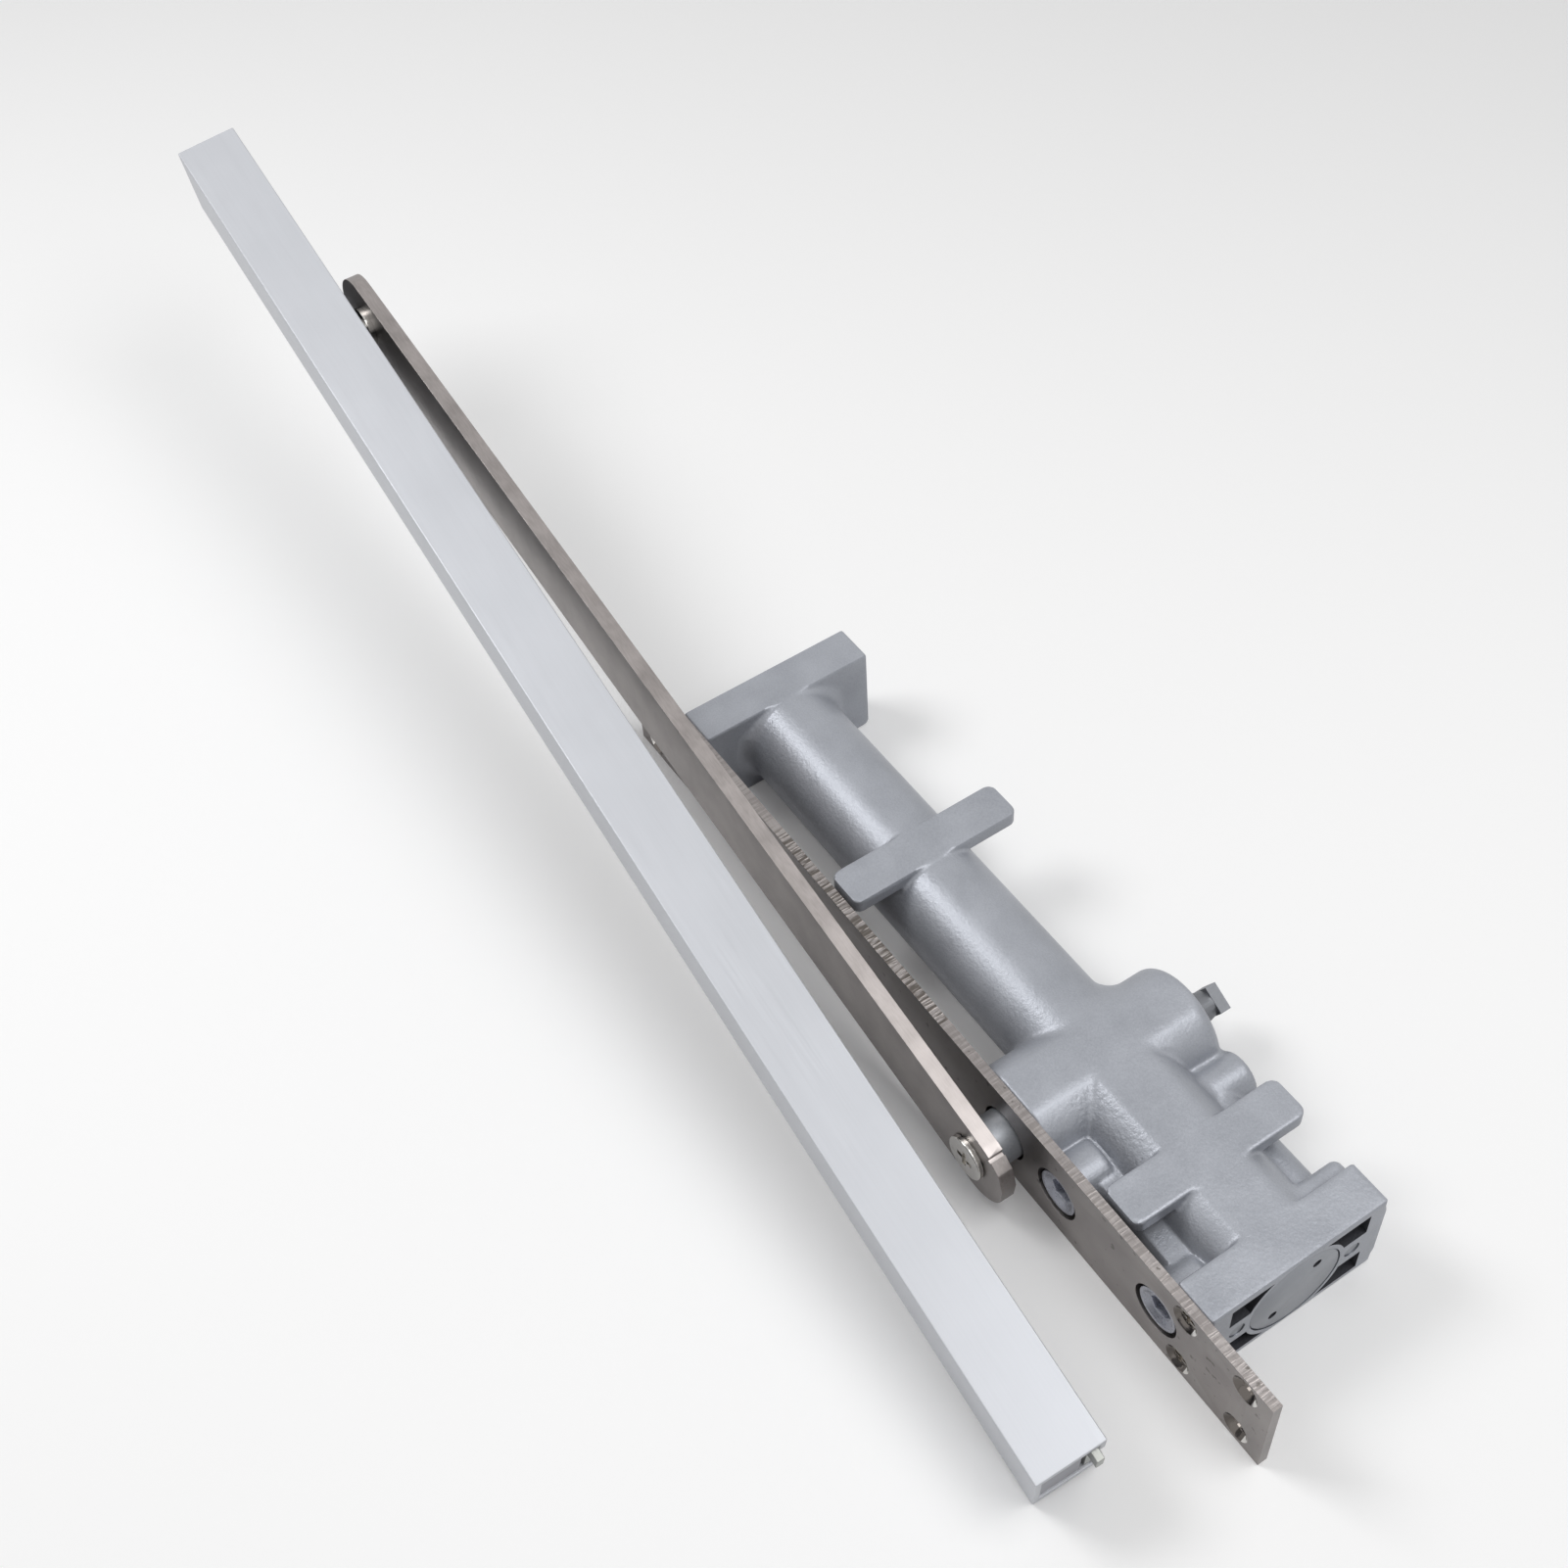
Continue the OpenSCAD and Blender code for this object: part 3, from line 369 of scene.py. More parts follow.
def castMaterial(name, low, high, metallic, roughness, depth):
    # sandblasted die-cast aluminium under a satin lacquer: even cool grey, a fine blasted grain
    # over the faint orange peel of the mould
    material, tree, shader, place = newMaterial(name)
    skin = castSkin
    fine, peel, broad = [
        addNode(tree, "ShaderNodeTexNoise", {"Vector": place, "Scale": 1000 / skin[size],
                                             "Detail": detail})
        for size, detail in (("grain", 3), ("peel", 2), ("stains", 4))]
    blend = addNode(tree, "ShaderNodeMix", {0: skin["grainShare"], 2: broad.outputs[0],
                                            3: fine.outputs[0]})
    level = addNode(tree, "ShaderNodeMapRange", {"Value": blend.outputs[0],
                                                 "From Min": 0.32, "From Max": 0.68})
    tint = addNode(tree, "ShaderNodeMix", {0: level.outputs[0], 6: linear(low), 7: linear(high)},
                   data_type="RGBA")
    spread = skin["glossSpread"]
    gloss = addNode(tree, "ShaderNodeMapRange", {"Value": broad.outputs[0], "From Min": 0.3,
                                                 "From Max": 0.7, "To Min": roughness - spread,
                                                 "To Max": roughness + spread})
    axes = addNode(tree, "ShaderNodeSeparateXYZ", {"Vector": place})
    pocket = 1.0
    for axis, limit, test in skin["pocket"]:
        side = addNode(tree, "ShaderNodeMath", {0: axes.outputs[axis], 1: limit * mm},
                       operation=test)
        pocket = addNode(tree, "ShaderNodeMath", {0: side.outputs[0], 1: pocket},
                         operation="MULTIPLY").outputs[0]
    # the peel is nearly twice as deep as the grain, and deeper still in the pocket
    deep = addNode(tree, "ShaderNodeMapRange", {"Value": pocket,
                                                "To Min": skin["peelRatio"] * depth * mm,
                                                "To Max": skin["pocketDepth"] * mm})
    soft = addNode(tree, "ShaderNodeBump", {"Height": peel.outputs[0],
                                            "Distance": deep.outputs[0]})
    relief = addNode(tree, "ShaderNodeBump", {"Height": fine.outputs[0], "Distance": depth * mm,
                                              "Normal": soft.outputs["Normal"]})
    tree.links.new(tint.outputs[2], shader.inputs["Base Color"])
    tree.links.new(gloss.outputs[0], shader.inputs["Roughness"])
    tree.links.new(relief.outputs[0], shader.inputs["Normal"])
    shader.inputs["Metallic"].default_value = metallic
    shader.inputs["Specular IOR Level"].default_value = 0.3
    return material


def metal(name, low, high, roughness, grain=1.0, stretch=(1, 1, 1), depth=0.01, turn=(0, 0, 0),
          at=(0, 0, 0), metallic=1.0, patches=9):
    # worked metal: broad stains in the colour, fine marks in roughness and relief; the marks
    # are drawn out along the first axis of the part's own turned frame, and a few times coarser
    # than real tool marks, so that they show
    material, tree, shader, place = newMaterial(name)
    spread, share = 0.05, 0.4       # roughness either way; the marks' share of the colour
    local = addNode(tree, "ShaderNodeMapping", {"Vector": place, "Location": at, "Rotation": turn},
                    vector_type="TEXTURE")
    drawn = addNode(tree, "ShaderNodeMapping", {"Vector": local.outputs[0], "Scale": stretch})
    broad = addNode(tree, "ShaderNodeTexNoise", {"Vector": place, "Scale": 1000 / patches,
                                                 "Detail": 4})
    fine = addNode(tree, "ShaderNodeTexNoise", {"Vector": drawn.outputs[0], "Scale": 1000 / grain,
                                                "Detail": 4})
    blend = addNode(tree, "ShaderNodeMix", {0: share, 2: broad.outputs[0], 3: fine.outputs[0]})
    level = addNode(tree, "ShaderNodeMapRange", {"Value": blend.outputs[0],
                                                 "From Min": 0.3, "From Max": 0.7})
    tint = addNode(tree, "ShaderNodeMix", {0: level.outputs[0], 6: linear(low), 7: linear(high)},
                   data_type="RGBA")
    gloss = addNode(tree, "ShaderNodeMapRange", {"Value": fine.outputs[0], "From Min": 0.3,
                                                 "From Max": 0.7, "To Min": roughness - spread,
                                                 "To Max": roughness + spread})
    relief = addNode(tree, "ShaderNodeBump", {"Height": fine.outputs[0], "Distance": depth * mm})
    tree.links.new(tint.outputs[2], shader.inputs["Base Color"])
    tree.links.new(gloss.outputs[0], shader.inputs["Roughness"])
    tree.links.new(relief.outputs[0], shader.inputs["Normal"])
    shader.inputs["Metallic"].default_value = metallic
    return material


def plastic(name, low, high, roughness):
    # moulded plastic or rubber: near even colour, faint moulding grain
    grain, depth = 0.4, 0.008
    material, tree, shader, place = newMaterial(name)
    fine = addNode(tree, "ShaderNodeTexNoise", {"Vector": place, "Scale": 1000 / grain,
                                                "Detail": 3})
    tint = addNode(tree, "ShaderNodeMix", {0: fine.outputs[0], 6: linear(low), 7: linear(high)},
                   data_type="RGBA")
    relief = addNode(tree, "ShaderNodeBump", {"Height": fine.outputs[0], "Distance": depth * mm})
    tree.links.new(tint.outputs[2], shader.inputs["Base Color"])
    tree.links.new(relief.outputs[0], shader.inputs["Normal"])
    shader.inputs["Roughness"].default_value = roughness
    return material


def builtOn(material):
    # the shader, last bump, colour and place sockets of a finished material, for more layers
    tree = material.node_tree
    shader = next(n for n in tree.nodes if n.type == "BSDF_PRINCIPLED")
    place = next(n for n in tree.nodes if n.type == "TEX_COORD").outputs["Object"]
    return (tree, shader, shader.inputs["Normal"].links[0].from_socket,
            shader.inputs["Base Color"].links[0].from_socket, place)


plateMarks = {      # sizes in mm
    "ridgePitch": 0.8, "ridgeStart": -66.0, "ridgeEnd": 14.0, "ridgeDepth": 0.1,
    "ridgeWeak": 0.3, "ridgeStretch": 0.12, "ridgeTurn": 8, "ridgeColour": "5E5955",
    "edge": 15.8,                           # z past which the upper edge lies
    "pitPitch": 2.6, "pitLevel": 0.66, "pitRise": 0.04, "pitStrength": 0.7,
    "pitColour": "57534F",
    "sinks": (plateScrew, (136.0, 10.8)),   # countersinks, either way from the middle
    # inside the sinks the colour is painted shade of the hollow
    "sinkRadius": 4.35, "sinkDepth": 0.08, "sinkShadeColour": "6B6662", "sinkGloss": 0.12,
    # the glint is a painted highlight on the countersink wall towards the plate's end
    "glint": (3.7, 1.2),                    # from a countersink's middle, and half its width
    "paintedGlintColour": "F2F0EC",
}


def plateMaterial(name, low, high, roughness):
    # brushed steel strip: lines along the length, warm stains, sparse dark pits, and across its
    # upper edge the uneven ridges that the shears left, strongest beside the tube
    material = metal(name, low, high, roughness, 0.35, (0.06, 1, 1), 0.012, patches=12)
    tree, shader, normal, tint, place = builtOn(material)
    m = plateMarks
    thin = m["ridgeStretch"]
    drawn = addNode(tree, "ShaderNodeMapping", {"Vector": place, "Scale": (1, thin, thin),
                                                "Rotation": (0, 0, math.radians(m["ridgeTurn"]))})
    ridges = addNode(tree, "ShaderNodeTexNoise", {"Vector": drawn.outputs[0], "Detail": 2,
                                                  "Scale": 1000 / m["ridgePitch"]})
    ridges = addNode(tree, "ShaderNodeMapRange", {"Value": ridges.outputs[0], "From Min": 0.42,
                                                  "From Max": 0.58})
    axes = addNode(tree, "ShaderNodeSeparateXYZ", {"Vector": place})
    top = addNode(tree, "ShaderNodeMath", {0: axes.outputs["Z"], 1: m["edge"] * mm},
                  operation="GREATER_THAN")
    middle, half = (m["ridgeStart"] + m["ridgeEnd"]) / 2, (m["ridgeEnd"] - m["ridgeStart"]) / 2
    along = addNode(tree, "ShaderNodeMath", {0: axes.outputs["X"], 1: middle * mm, 2: half * mm},
                    operation="COMPARE")
    along = addNode(tree, "ShaderNodeMapRange", {"Value": along.outputs[0],
                                                 "To Min": m["ridgeWeak"]})
    both = addNode(tree, "ShaderNodeMath", {0: top.outputs[0], 1: along.outputs[0]},
                   operation="MULTIPLY")
    height = addNode(tree, "ShaderNodeMath", {0: ridges.outputs[0], 1: both.outputs[0]},
                     operation="MULTIPLY")
    relief = addNode(tree, "ShaderNodeBump", {"Height": height.outputs[0], "Normal": normal,
                                              "Distance": m["ridgeDepth"] * mm})
    shade = addNode(tree, "ShaderNodeMix", {0: height.outputs[0], 6: tint,
                                            7: linear(m["ridgeColour"])}, data_type="RGBA")
    pits = addNode(tree, "ShaderNodeTexNoise", {"Vector": place, "Scale": 1000 / m["pitPitch"],
                                                "Detail": 3})
    pits = addNode(tree, "ShaderNodeMapRange", {"Value": pits.outputs[0],
                                                "From Min": m["pitLevel"],
                                                "From Max": m["pitLevel"] + m["pitRise"],
                                                "To Max": m["pitStrength"]})
    shade = addNode(tree, "ShaderNodeMix", {0: pits.outputs[0], 6: shade.outputs[2],
                                            7: linear(m["pitColour"])}, data_type="RGBA")
    # the countersinks are cut bright, so the gloss rises inside each one; there the colour is
    # painted darker as painted shade of the hollow, and the wall towards the plate's end gets a
    # painted glint
    folded = addNode(tree, "ShaderNodeVectorMath", {0: place}, operation="ABSOLUTE")
    flat = addNode(tree, "ShaderNodeVectorMath", {0: folded.outputs[0], 1: (1, 0, 1)},
                   operation="MULTIPLY")
    across = addNode(tree, "ShaderNodeSeparateXYZ", {"Vector": folded.outputs[0]})
    nearest, bright = 1.0, 0.0
    for x, z in m["sinks"]:
        away = addNode(tree, "ShaderNodeVectorMath", {0: flat.outputs[0], 1: (x * mm, 0, z * mm)},
                       operation="DISTANCE")
        nearest = addNode(tree, "ShaderNodeMath", {0: away.outputs["Value"], 1: nearest},
                          operation="MINIMUM").outputs[0]
        wall = addNode(tree, "ShaderNodeMath", {0: across.outputs["X"], 1: (x + m["glint"][0]) * mm,
                                                2: m["glint"][1] * mm}, operation="COMPARE")
        bright = addNode(tree, "ShaderNodeMath", {0: wall.outputs[0], 1: bright},
                         operation="MAXIMUM").outputs[0]
    inside = addNode(tree, "ShaderNodeMath", {0: nearest, 1: m["sinkRadius"] * mm},
                     operation="LESS_THAN")
    below = addNode(tree, "ShaderNodeMath", {0: axes.outputs["Y"],
                                             1: (plateFace + m["sinkDepth"]) * mm},
                    operation="GREATER_THAN")
    cone = addNode(tree, "ShaderNodeMath", {0: inside.outputs[0], 1: below.outputs[0]},
                   operation="MULTIPLY")
    cut = addNode(tree, "ShaderNodeMix", {0: bright, 6: linear(m["sinkShadeColour"]),
                                          7: linear(m["paintedGlintColour"])}, data_type="RGBA")
    shade = addNode(tree, "ShaderNodeMix", {0: cone.outputs[0], 6: shade.outputs[2],
                                            7: cut.outputs[2]}, data_type="RGBA")
    brushed = shader.inputs["Roughness"].links[0].from_socket
    gloss = addNode(tree, "ShaderNodeMix", {0: cone.outputs[0], 2: brushed, 3: m["sinkGloss"]})
    tree.links.new(relief.outputs[0], shader.inputs["Normal"])
    tree.links.new(shade.outputs[2], shader.inputs["Base Color"])
    tree.links.new(gloss.outputs[0], shader.inputs["Roughness"])
    return material


def spindleMaterial(name, low, high, rear, start, roughness):
    # turned steel: lighter at the arm, and darker past the far end of the casting
    material = metal(name, low, high, roughness, 0.7, depth=0.02, metallic=0.8)
    tree, shader, normal, tint, place = builtOn(material)
    axes = addNode(tree, "ShaderNodeSeparateXYZ", {"Vector": place})
    pastCasting = addNode(tree, "ShaderNodeMath", {0: axes.outputs["Y"], 1: start * mm},
                    operation="GREATER_THAN")
    shade = addNode(tree, "ShaderNodeMix", {0: pastCasting.outputs[0], 6: tint, 7: linear(rear)},
                    data_type="RGBA")
    tree.links.new(shade.outputs[2], shader.inputs["Base Color"])
    return material


trackTurn = tuple(math.radians(v) for v in (6.82, 9.57, -2.55))     # lean, pitch, skew
trackPlace = tuple(v * mm for v in (-280.026, -17.5, 67.484))       # where the pin enters it
armTurn = (0, math.radians(armPitch), 0)
armPlace = (casting["spindleX"] * mm, 0, 0)

looks = {           # colours, roughness, then grain in mm, stretch and depth in mm
    "casting": castMaterial("blastedCastAluminium", "94979E", "A9ACB3", 0.4, 0.4, 0.05),
    # walls of the blind recesses, left as cast and rough; their dark colour is painted shade of the
    # recess
    "recess": castMaterial("recessShadeCastAluminium", "34353A", "44454A", 0.3, 0.6, 0.06),
    # honed: bright, with marks that run round the bore
    "bore": metal("honedAluminium", "8E9196", "A2A5AA", 0.3, 0.4, (1, 6, 6)),
    "plate": plateMaterial("brushedPlateSteel", "878281", "9F9A98", 0.36),
    # stamped from strip: warm satin grey with soft lines along the blade
    "arm": metal("satinStampedSteel", "85807E", "A19B99", 0.36, 0.5, (0.15, 1, 1), 0.012,
                 armTurn, armPlace, patches=10),
    # extruded and anodised: pale, even and satin, with faint draw lines along it
    "track": metal("anodisedAluminium", "BABCC1", "C1C3C8", 0.42, 0.5, (0.02, 1, 1), 0.004,
                   trackTurn, trackPlace, metallic=0.45, patches=30),
    # plated: mirror bright; the screws that sit below the plate's face get a darker copy, painted
    # shade of their hollow
    "nickel": metal("polishedNickel", "B4B1AD", "D0CECA", 0.12, 0.8, depth=0.003),
    "shadedSunkNickel": metal("shadedSunkScrewNickel", "8A857F", "B0AAA2", 0.14, 0.8, depth=0.003),
    "spindle": spindleMaterial("turnedSpindleSteel", "8B8E93", "A8ABB0", "77797D", 56, 0.5),
    # turned: an even mid grey with fine marks
    "steel": metal("turnedSteel", "83868B", "9DA0A5", 0.4, 0.4, depth=0.01),
    "plug": metal("turnedPlugAluminium", "8A8D93", "9B9EA4", 0.38, 0.5, depth=0.01, metallic=0.5),
    "valve": metal("turnedValveAluminium", "9496A0", "B0B2BA", 0.3, 0.6, depth=0.01,
                   metallic=0.85),
    # drawn wire, dark under a film of oil
    "spring": metal("oiledSpringSteel", "56585B", "74777A", 0.28, 0.5),
    # moulded: near black and dull, then black and slightly waxy, then an even mid grey
    "rubber": plastic("nitrileRubber", "1B1B1B", "262626", 0.6),
    "nylon": plastic("blackNylon", "2C2D2F", "37383A", 0.5),
    "stop": plastic("greyAcetal", "8C8D94", "9D9EA5", 0.5),
    # rolled strip: pale, with faint lines
    "clamp": metal("rolledAluminium", "9C9E9A", "B0B2AD", 0.4, 0.5, (0.2, 1, 1), 0.01,
                   metallic=0.7),
}
print("materials made:", len(looks))


# The casting


recess = {          # the blind recesses in the block's end face
    "near": 6.7, "far": 51.6, "inner": 5.2, "outer": 13.6, "plugClear": 16.1, "floor": 111.2,
}
bores = {           # profiles of what is bored, as (along, radius)
    "cylinder": ((-112.2, 12.5), (112.2, 12.5), (112.2, 14.73), (123, 14.73)),
    "valve": ((-2, 6.76), (4, 6.76), (4, 4.06), (11.9, 4.06)),
    "plateScrew": ((-2, 2.03), (5.8, 2.03)),
    "spindle": ((-2, 11.5), (51.5, 11.5), (51.5, 9), (54.1, 9), (54.1, 6.1), (62, 6.1)),
    "channel": ((65, 1.5), (116, 1.5), (116, 2.53), (123, 2.53)),
    "pastEnd": 123,
}
cutSharp = math.radians(50)     # cut pieces shade as sharp above this angle


def blockRecess(side, end):
    # one recess: a rectangle less the circle round the plug
    r = recess
    clear, inner, outer = r["plugClear"], r["inner"], r["outer"]
    edge = r["near"] if side < 0 else r["far"]
    angles = np.linspace(math.asin(inner / clear), math.asin(outer / clear), 10)
    arc = np.stack([casting["axisY"] + side * clear * np.cos(angles), clear * np.sin(angles)], -1)
    outline = np.vstack([[(edge, inner)], arc, [(edge, outer)]]) * [1, end]
    if side * end > 0:
        outline = outline[::-1]
    return prism(outline, r["floor"], bores["pastEnd"])


def platePlaces():
    # x and z of the four screws of the plate
    return [(x * plateScrew[0], z * plateScrew[1]) for x in (-1, 1) for z in (-1, 1)]


def machinedCuts():
    # everything bored or drilled, in groups whose members don't touch
    c = casting
    first = [towardsX(turned(bores["cylinder"], 96), c["axisY"])]
    first += [towardsY(turned(bores["valve"]), x) for x in c["valves"]]
    first += [towardsY(turned(bores["plateScrew"], 32), x, z) for x, z in platePlaces()]
    pockets = [blockRecess(side, end) for side in (-1, 1) for end in (-1, 1)]
    second = [towardsY(turned(bores["spindle"], 96), c["spindleX"])]
    second += [towardsX(turned(bores["channel"], 32), y) for y in c["channels"]]
    return first, pockets, second


def cutAway(piece, groups):
    # subtracts groups of closed shapes, each with its material number, and keeps the result
    skins = list(piece.data.materials)
    cutters = []
    for number, (shapes, marks) in enumerate(groups):
        points, faces = joined(shapes)
        which = np.concatenate([np.full(len(f), m) for (p, f), m in zip(shapes, marks)])
        cutter = newPiece("cutter" + str(number), points, faces, skins, which)
        cutters.append(cutter)
        cut = piece.modifiers.new(cutter.name, "BOOLEAN")
        cut.operation, cut.solver, cut.object = "DIFFERENCE", "MANIFOLD", cutter
    bpy.context.view_layer.update()
    done = piece.evaluated_get(bpy.context.evaluated_depsgraph_get())
    made = bpy.data.meshes.new_from_object(done)
    piece.modifiers.clear()
    piece.data = made
    for cutter in cutters:
        bpy.data.objects.remove(cutter)
    made.polygons.foreach_set("use_smooth", [True] * len(made.polygons))
    made.set_sharp_from_angle(angle=cutSharp)
    print(piece.name, "faces:", len(made.polygons))


def buildCasting():
    # the field's surface, in a box with a little room round it, then the machining
    c = casting
    room, under = 1.5, 1.6
    low = (-c["halfLength"] - room, -under, -c["halfWidth"] - room)
    high = (c["halfLength"] + room, c["rearBossFar"] + room, c["halfWidth"] + room)
    points, quads = fieldSurface(castingDistance, low, high, c["voxel"])
    piece = newPiece("castBody", points, quads, [looks["casting"], looks["bore"], looks["recess"]])
    first, pockets, second = machinedCuts()
    # the pockets take the recess look, whose dark colour is painted shade
    cutAway(piece, [(first + pockets, [1] * len(first) + [2] * len(pockets)),
                    (second, [1] * len(second))])
    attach(piece, "closer_body")
    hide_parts("housing")


plug = {
    "start": 106.2, "headStart": 112.3, "face": 120.1, "headRadius": 14.65, "spigotRadius": 12.47,
    "groove": (108.2, 110.8, 10.9), "bevel": 0.45,
    "holeRadius": 1.4, "holeDepth": 5, "holeOff": 9.4, "holeTurn": 48.7,
}


def buildPlug():
    # the plug that closes the bore, turned from bar, with its ring groove and two spanner holes
    p = plug
    a, b, deep = p["groove"]
    spigot, head, bevel = p["spigotRadius"], p["headRadius"], p["bevel"]
    profile = [(p["start"], spigot - bevel), (p["start"] + bevel, spigot), (a, spigot), (a, deep),
               (b, deep), (b, spigot), (p["headStart"], spigot), (p["headStart"], head),
               (p["face"] - bevel, head), (p["face"], head - bevel)]
    points, faces = towardsX(turned(profile, 128), casting["axisY"])
    piece = newPiece("boreEndPlug", points, faces, [looks["plug"], looks["recess"]])
    hole = turned([(p["face"] - p["holeDepth"], p["holeRadius"]),
                   (p["face"] + 1, p["holeRadius"])], 32)
    turns = [math.radians(p["holeTurn"] + extra) for extra in (0, 180)]
    holes = [towardsX(hole, casting["axisY"] + p["holeOff"] * math.cos(t),
                      p["holeOff"] * math.sin(t)) for t in turns]
    # the spanner holes' walls take the recess look, whose dark colour is painted shade
    cutAway(piece, [(holes, [1, 1])])
    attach(piece, "closer_body")
    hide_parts("end_plug")


buildPlug()
buildCasting()


# Finished copies of the CAD parts: merged, then their edges rounded


heads = {
    "screwSunk": 1.2, "screwRadius": 4.6,
    "valveDish": ((-4.0, 5.7), (-2.5, 5.7), (-1.3, 4.2)),
}


def headCuts():
    # what the heads lose: the plate screws sit below the plate's face, the valves are dished
    h = heads
    sunk = turned([(plateFace - 2, h["screwRadius"]),
                   (plateFace + h["screwSunk"], h["screwRadius"])], 48)
    dish = turned(h["valveDish"])
    first, second = casting["valves"]
    return {"plate_screws": [towardsY(sunk, x, z) for x, z in platePlaces()],
            "closing_valve": [towardsY(dish, first)], "latching_valve": [towardsY(dish, second)]}


armTail = {         # (along, across) from the spindle in the arm's own frame, then y from and to
    "facets": ((5.8, 14), (5.8, 9.8), (7.0, 9.8), (7.1, 10.5), (10.9, 8.7), (13.7, 3.2),
               (14.2, -3), (18, -3), (18, 14)),
    "through": (-16, -8),
}


def tailCut():
    # flat facets and a notch on the upper corner of the arm's near end: an outline in the arm's
    # own turned frame, carried along Y
    u, w = np.array(armTail["facets"], float).T
    turn = math.radians(armPitch)
    x = casting["spindleX"] + u * math.cos(turn) + w * math.sin(turn)
    z = w * math.cos(turn) - u * math.sin(turn)
    points, faces = prism(np.stack([x, z], -1)[::-1], *armTail["through"])
    return points[:, [1, 0, 2]], faces


weld = 1e-6                     # m, points nearer than this are one
facetAngle = math.radians(0.4)  # facets within this angle are one
sharp = math.radians(32)        # edges above this angle are rounded


def finished(node, name, look, body, width):
    # a copy of a node's mesh with doubles merged, flat facets joined and sharp edges bevelled
    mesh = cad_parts[node].data.copy()
    mesh.name = name
    work = bmesh.new()
    work.from_mesh(mesh)
    bmesh.ops.remove_doubles(work, verts=work.verts, dist=weld)
    bmesh.ops.dissolve_limit(work, angle_limit=facetAngle, verts=work.verts, edges=work.edges)
    work.to_mesh(mesh)
    work.free()
    mesh.materials.clear()
    mesh.materials.append(looks[look])
    mesh.polygons.foreach_set("material_index", [0] * len(mesh.polygons))
    mesh.polygons.foreach_set("use_smooth", [True] * len(mesh.polygons))
    piece = bpy.data.objects.new(name, mesh)
    bpy.context.scene.collection.objects.link(piece)
    if node in cuts:
        cutAway(piece, [(cuts[node], [0] * len(cuts[node]))])
        mesh = piece.data
    bevel = piece.modifiers.new("roundedEdges", "BEVEL")
    bevel.width, bevel.segments = width * mm, 2
    bevel.limit_method, bevel.angle_limit = "ANGLE", sharp
    bevel.harden_normals = True
    mesh.set_sharp_from_angle(angle=sharp)
    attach(piece, body)
    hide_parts(node)


edges = {           # node: name, look, slot, body, width of the rounded edge in mm
    "face_plate": ("platePressing", "plate", "plate_steel", "closer_body", 0.2),
    "plate_screws": ("plateScrewSet", "shadedSunkNickel", "nickel", "closer_body", 0.1),
    "channel_plugs": ("channelPlugPair", "steel", "steel", "closer_body", 0.3),
    "spindle": ("spindleShaft", "spindle", "steel", "arm_set", 0.08),
    "arm": ("armBlade", "arm", "arm_steel", "arm_set", 0.45),
    "arm_screw": ("armPanScrew", "nickel", "nickel", "arm_set", 0.15),
    "arm_washer": ("armWasherRing", "nickel", "nickel", "arm_set", 0.15),
    "guide_pin": ("guideBallPin", "nickel", "nickel", "arm_set", 0.2),
    "slider": ("slideShoe", "nylon", "nylon", "slider_set", 0.6),
    "track": ("trackExtrusion", "track", "track_metal", "track_set", 0.4),
    "stop_blocks": ("stopBlockPair", "stop", "stop_plastic", "track_set", 0.4),
    "clamp_plates": ("clampPlatePair", "clamp", "clamp_metal", "track_set", 0.25),
    "closing_valve": ("closingValveScrew", "valve", "valve_metal", "closing_valve_set", 0.2),
    "latching_valve": ("latchingValveScrew", "valve", "valve_metal", "latching_valve_set", 0.2),
}
cuts = {**headCuts(), "arm": [tailCut()]}
for node, (name, look, slotName, body, width) in edges.items():
    finished(node, name, look, body, width)
print("finished copies:", len(edges))


# The return spring


spring = {          # wire is the wire's radius; travelKept the share of length left when pressed
    "start": -109.2, "end": 19.2, "axisY": 28.8, "outer": 11.5, "wire": 1.8, "turns": 19,
    "perTurn": 40, "sides": 12, "travelKept": 0.877,
}


def buildSpring():
    # a wire circle carried along a helix about the bore's axis; the pitch eases to one wire's
    # thickness over the first and last turn, and both ends are ground flat
    s = spring
    t = np.linspace(0, 1, s["turns"] * s["perTurn"] + 1)
    near = np.clip(np.minimum(t, 1 - t) * s["turns"], 0, 1)
    pace = 0.5 + 0.5 * near ** 2 * (3 - 2 * near)
    rise = np.concatenate([[0], np.cumsum((pace[1:] + pace[:-1]) / 2)])
    low, high = s["start"] + s["wire"] * 0.5, s["end"] - s["wire"] * 0.5
    x = low + (high - low) * rise / rise[-1]
    angle = 2 * np.pi * s["turns"] * t
    radius = s["outer"] - s["wire"]
    middle = np.stack([x, radius * np.cos(angle), radius * np.sin(angle)], -1)
    tangent = np.gradient(middle, axis=0)
    tangent /= np.linalg.norm(tangent, axis=1)[:, None]
    outward = np.stack([0 * x, np.cos(angle), np.sin(angle)], -1)
    across = np.cross(tangent, outward)
    u = np.linspace(0, 2 * np.pi, s["sides"], endpoint=False)
    ring = (middle[:, None] + s["wire"] * (outward[:, None] * np.cos(u)[None, :, None]
                                          + across[:, None] * np.sin(u)[None, :, None]))
    ring[..., 0] = np.clip(ring[..., 0], s["start"], s["end"])
    ring[..., 1] += s["axisY"]
    rows, sides = ring.shape[:2]
    ends = middle[[0, -1]] + [0, s["axisY"], 0]
    points = np.vstack([ring.reshape(-1, 3), ends])
    piece = newPiece("returnSpringCoil", points, sweptFaces(rows, sides), [looks["spring"]])
    work = bmesh.new()
    work.from_mesh(piece.data)
    bmesh.ops.recalc_face_normals(work, faces=work.faces)
    work.to_mesh(piece.data)
    work.free()
    piece.data.polygons.foreach_set("use_smooth", [True] * len(piece.data.polygons))
    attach(piece, "closer_body")
    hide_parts("return_spring")
    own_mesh(piece)


buildSpring()
print("spring wound")


# CAD parts that keep their own mesh


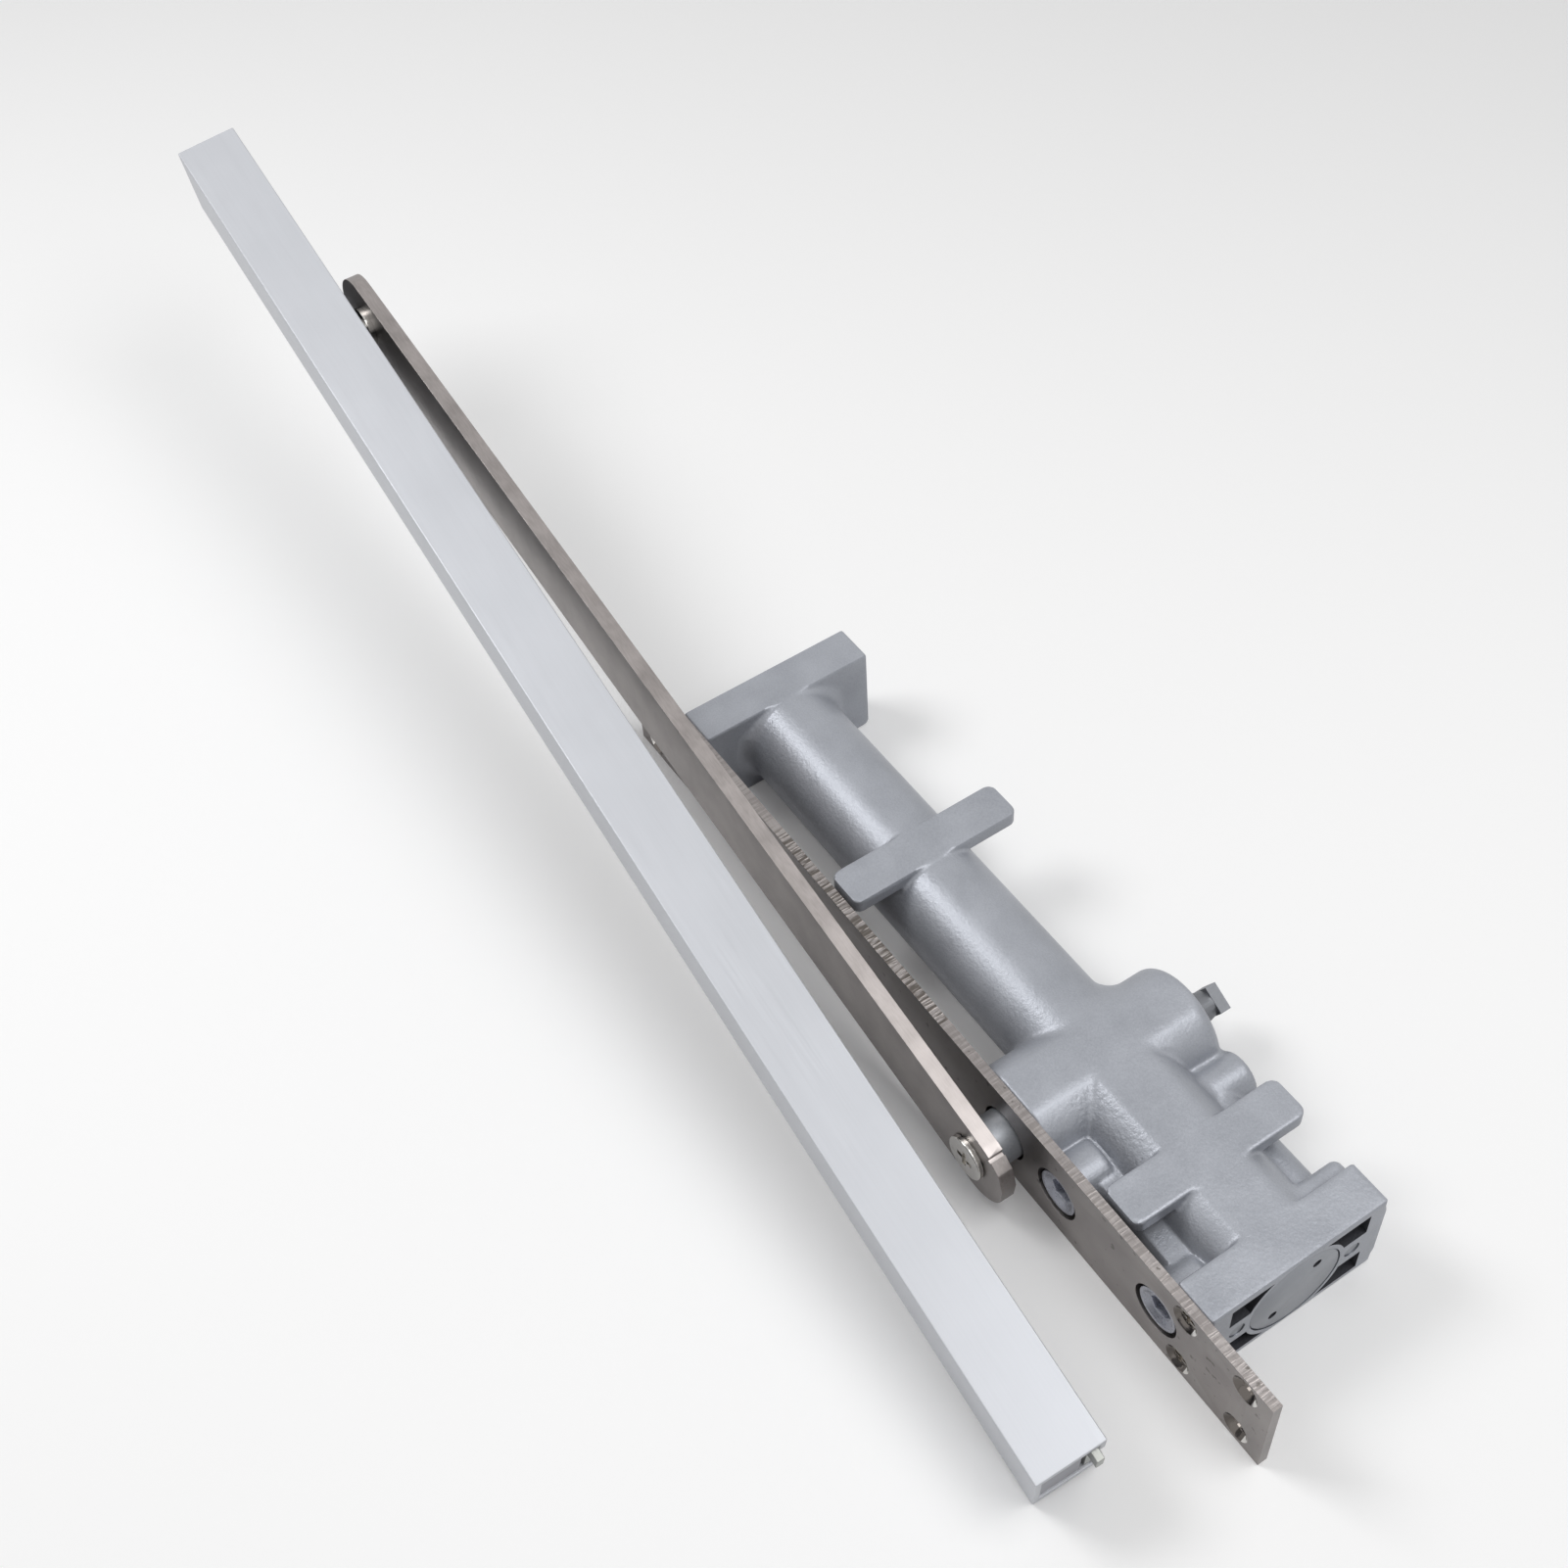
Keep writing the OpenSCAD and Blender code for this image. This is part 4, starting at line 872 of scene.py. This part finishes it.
plainNodes = {
    "end_plug_ring": "rubber", "front_bearing": "steel", "rear_bearing": "steel",
    "front_seal": "rubber", "rear_seal": "rubber", "gland": "steel",
    "closing_valve_ring": "rubber", "latching_valve_ring": "rubber", "piston": "steel",
    "piston_ring": "rubber", "check_ball": "nickel", "check_cap": "steel",
    "spring_seat": "steel", "set_screws": "steel",
}
for node, look in plainNodes.items():
    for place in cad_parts[node].material_slots:
        place.material = looks[look]
print("carried nodes dressed:", len(plainNodes))


# Floor, lamps and world


studio = {
    "floorZ": -16.0, "floorSize": 6000, "floorColours": ("F6F6F6", "F8F8F8"),
    "stainsPerMetre": 3, "floorGlow": 0.05, "ambient": 0.38,
    "lamps": {      # place in m, size in m, watts
        "overhead": ((0.33, 0.22, 0.85), 0.55, 3.6),
        "backLeft": ((-0.55, -0.42, 0.76), 0.4, 3.6),
    },
    "aim": (0.0, 0.0, 0.0),
}


def buildStudio():
    half = studio["floorSize"] / 2
    z = studio["floorZ"]
    material, tree, shader, place = newMaterial("paleMattBoard")
    broad = addNode(tree, "ShaderNodeTexNoise", {"Vector": place, "Detail": 2,
                                                 "Scale": studio["stainsPerMetre"]})
    low, high = (linear(colour) for colour in studio["floorColours"])
    tint = addNode(tree, "ShaderNodeMix", {0: broad.outputs[0], 6: low, 7: high},
                   data_type="RGBA")
    tree.links.new(tint.outputs[2], shader.inputs["Base Color"])
    shader.inputs["Roughness"].default_value = 0.9
    # the board is lifted towards white for the camera alone, and keeps its shadows
    path = addNode(tree, "ShaderNodeLightPath")
    glow = addNode(tree, "ShaderNodeMath", {0: path.outputs["Is Camera Ray"],
                                            1: studio["floorGlow"]}, operation="MULTIPLY")
    shader.inputs["Emission Color"].default_value = (1, 1, 1, 1)
    tree.links.new(glow.outputs[0], shader.inputs["Emission Strength"])
    corners = [(-half, -half, z), (half, -half, z), (half, half, z), (-half, half, z)]
    floor = newPiece("paleFloor", corners, [(0, 1, 2, 3)], [material])
    for name, (where, size, watts) in studio["lamps"].items():
        data = bpy.data.lights.new(name, "AREA")
        data.shape, data.size, data.energy = "SQUARE", size, watts
        lamp = bpy.data.objects.new(name, data)
        lamp.location = where
        towards = Vector(studio["aim"]) - Vector(where)
        lamp.rotation_euler = towards.to_track_quat("-Z", "Y").to_euler()
        bpy.context.scene.collection.objects.link(lamp)
    world = bpy.data.worlds.new("softStudio")
    bpy.context.scene.world = world
    world.use_nodes = True
    tree = world.node_tree
    tree.nodes.clear()
    # white for the camera and for reflections, dimmer as a light
    path = addNode(tree, "ShaderNodeLightPath")
    seen = 0.0
    for ray in ("Is Camera Ray", "Is Glossy Ray", "Is Transmission Ray"):
        seen = addNode(tree, "ShaderNodeMath", {0: path.outputs[ray], 1: seen}, operation="ADD",
                       use_clamp=True).outputs[0]
    level = addNode(tree, "ShaderNodeMapRange", {"Value": seen, "To Min": studio["ambient"]})
    sky = addNode(tree, "ShaderNodeBackground", {"Color": (1, 1, 1, 1),
                                                 "Strength": level.outputs["Result"]})
    addNode(tree, "ShaderNodeOutputWorld", {"Surface": sky.outputs[0]})
    bpy.context.scene.view_settings.view_transform = "Standard"


buildStudio()
print("studio lit")
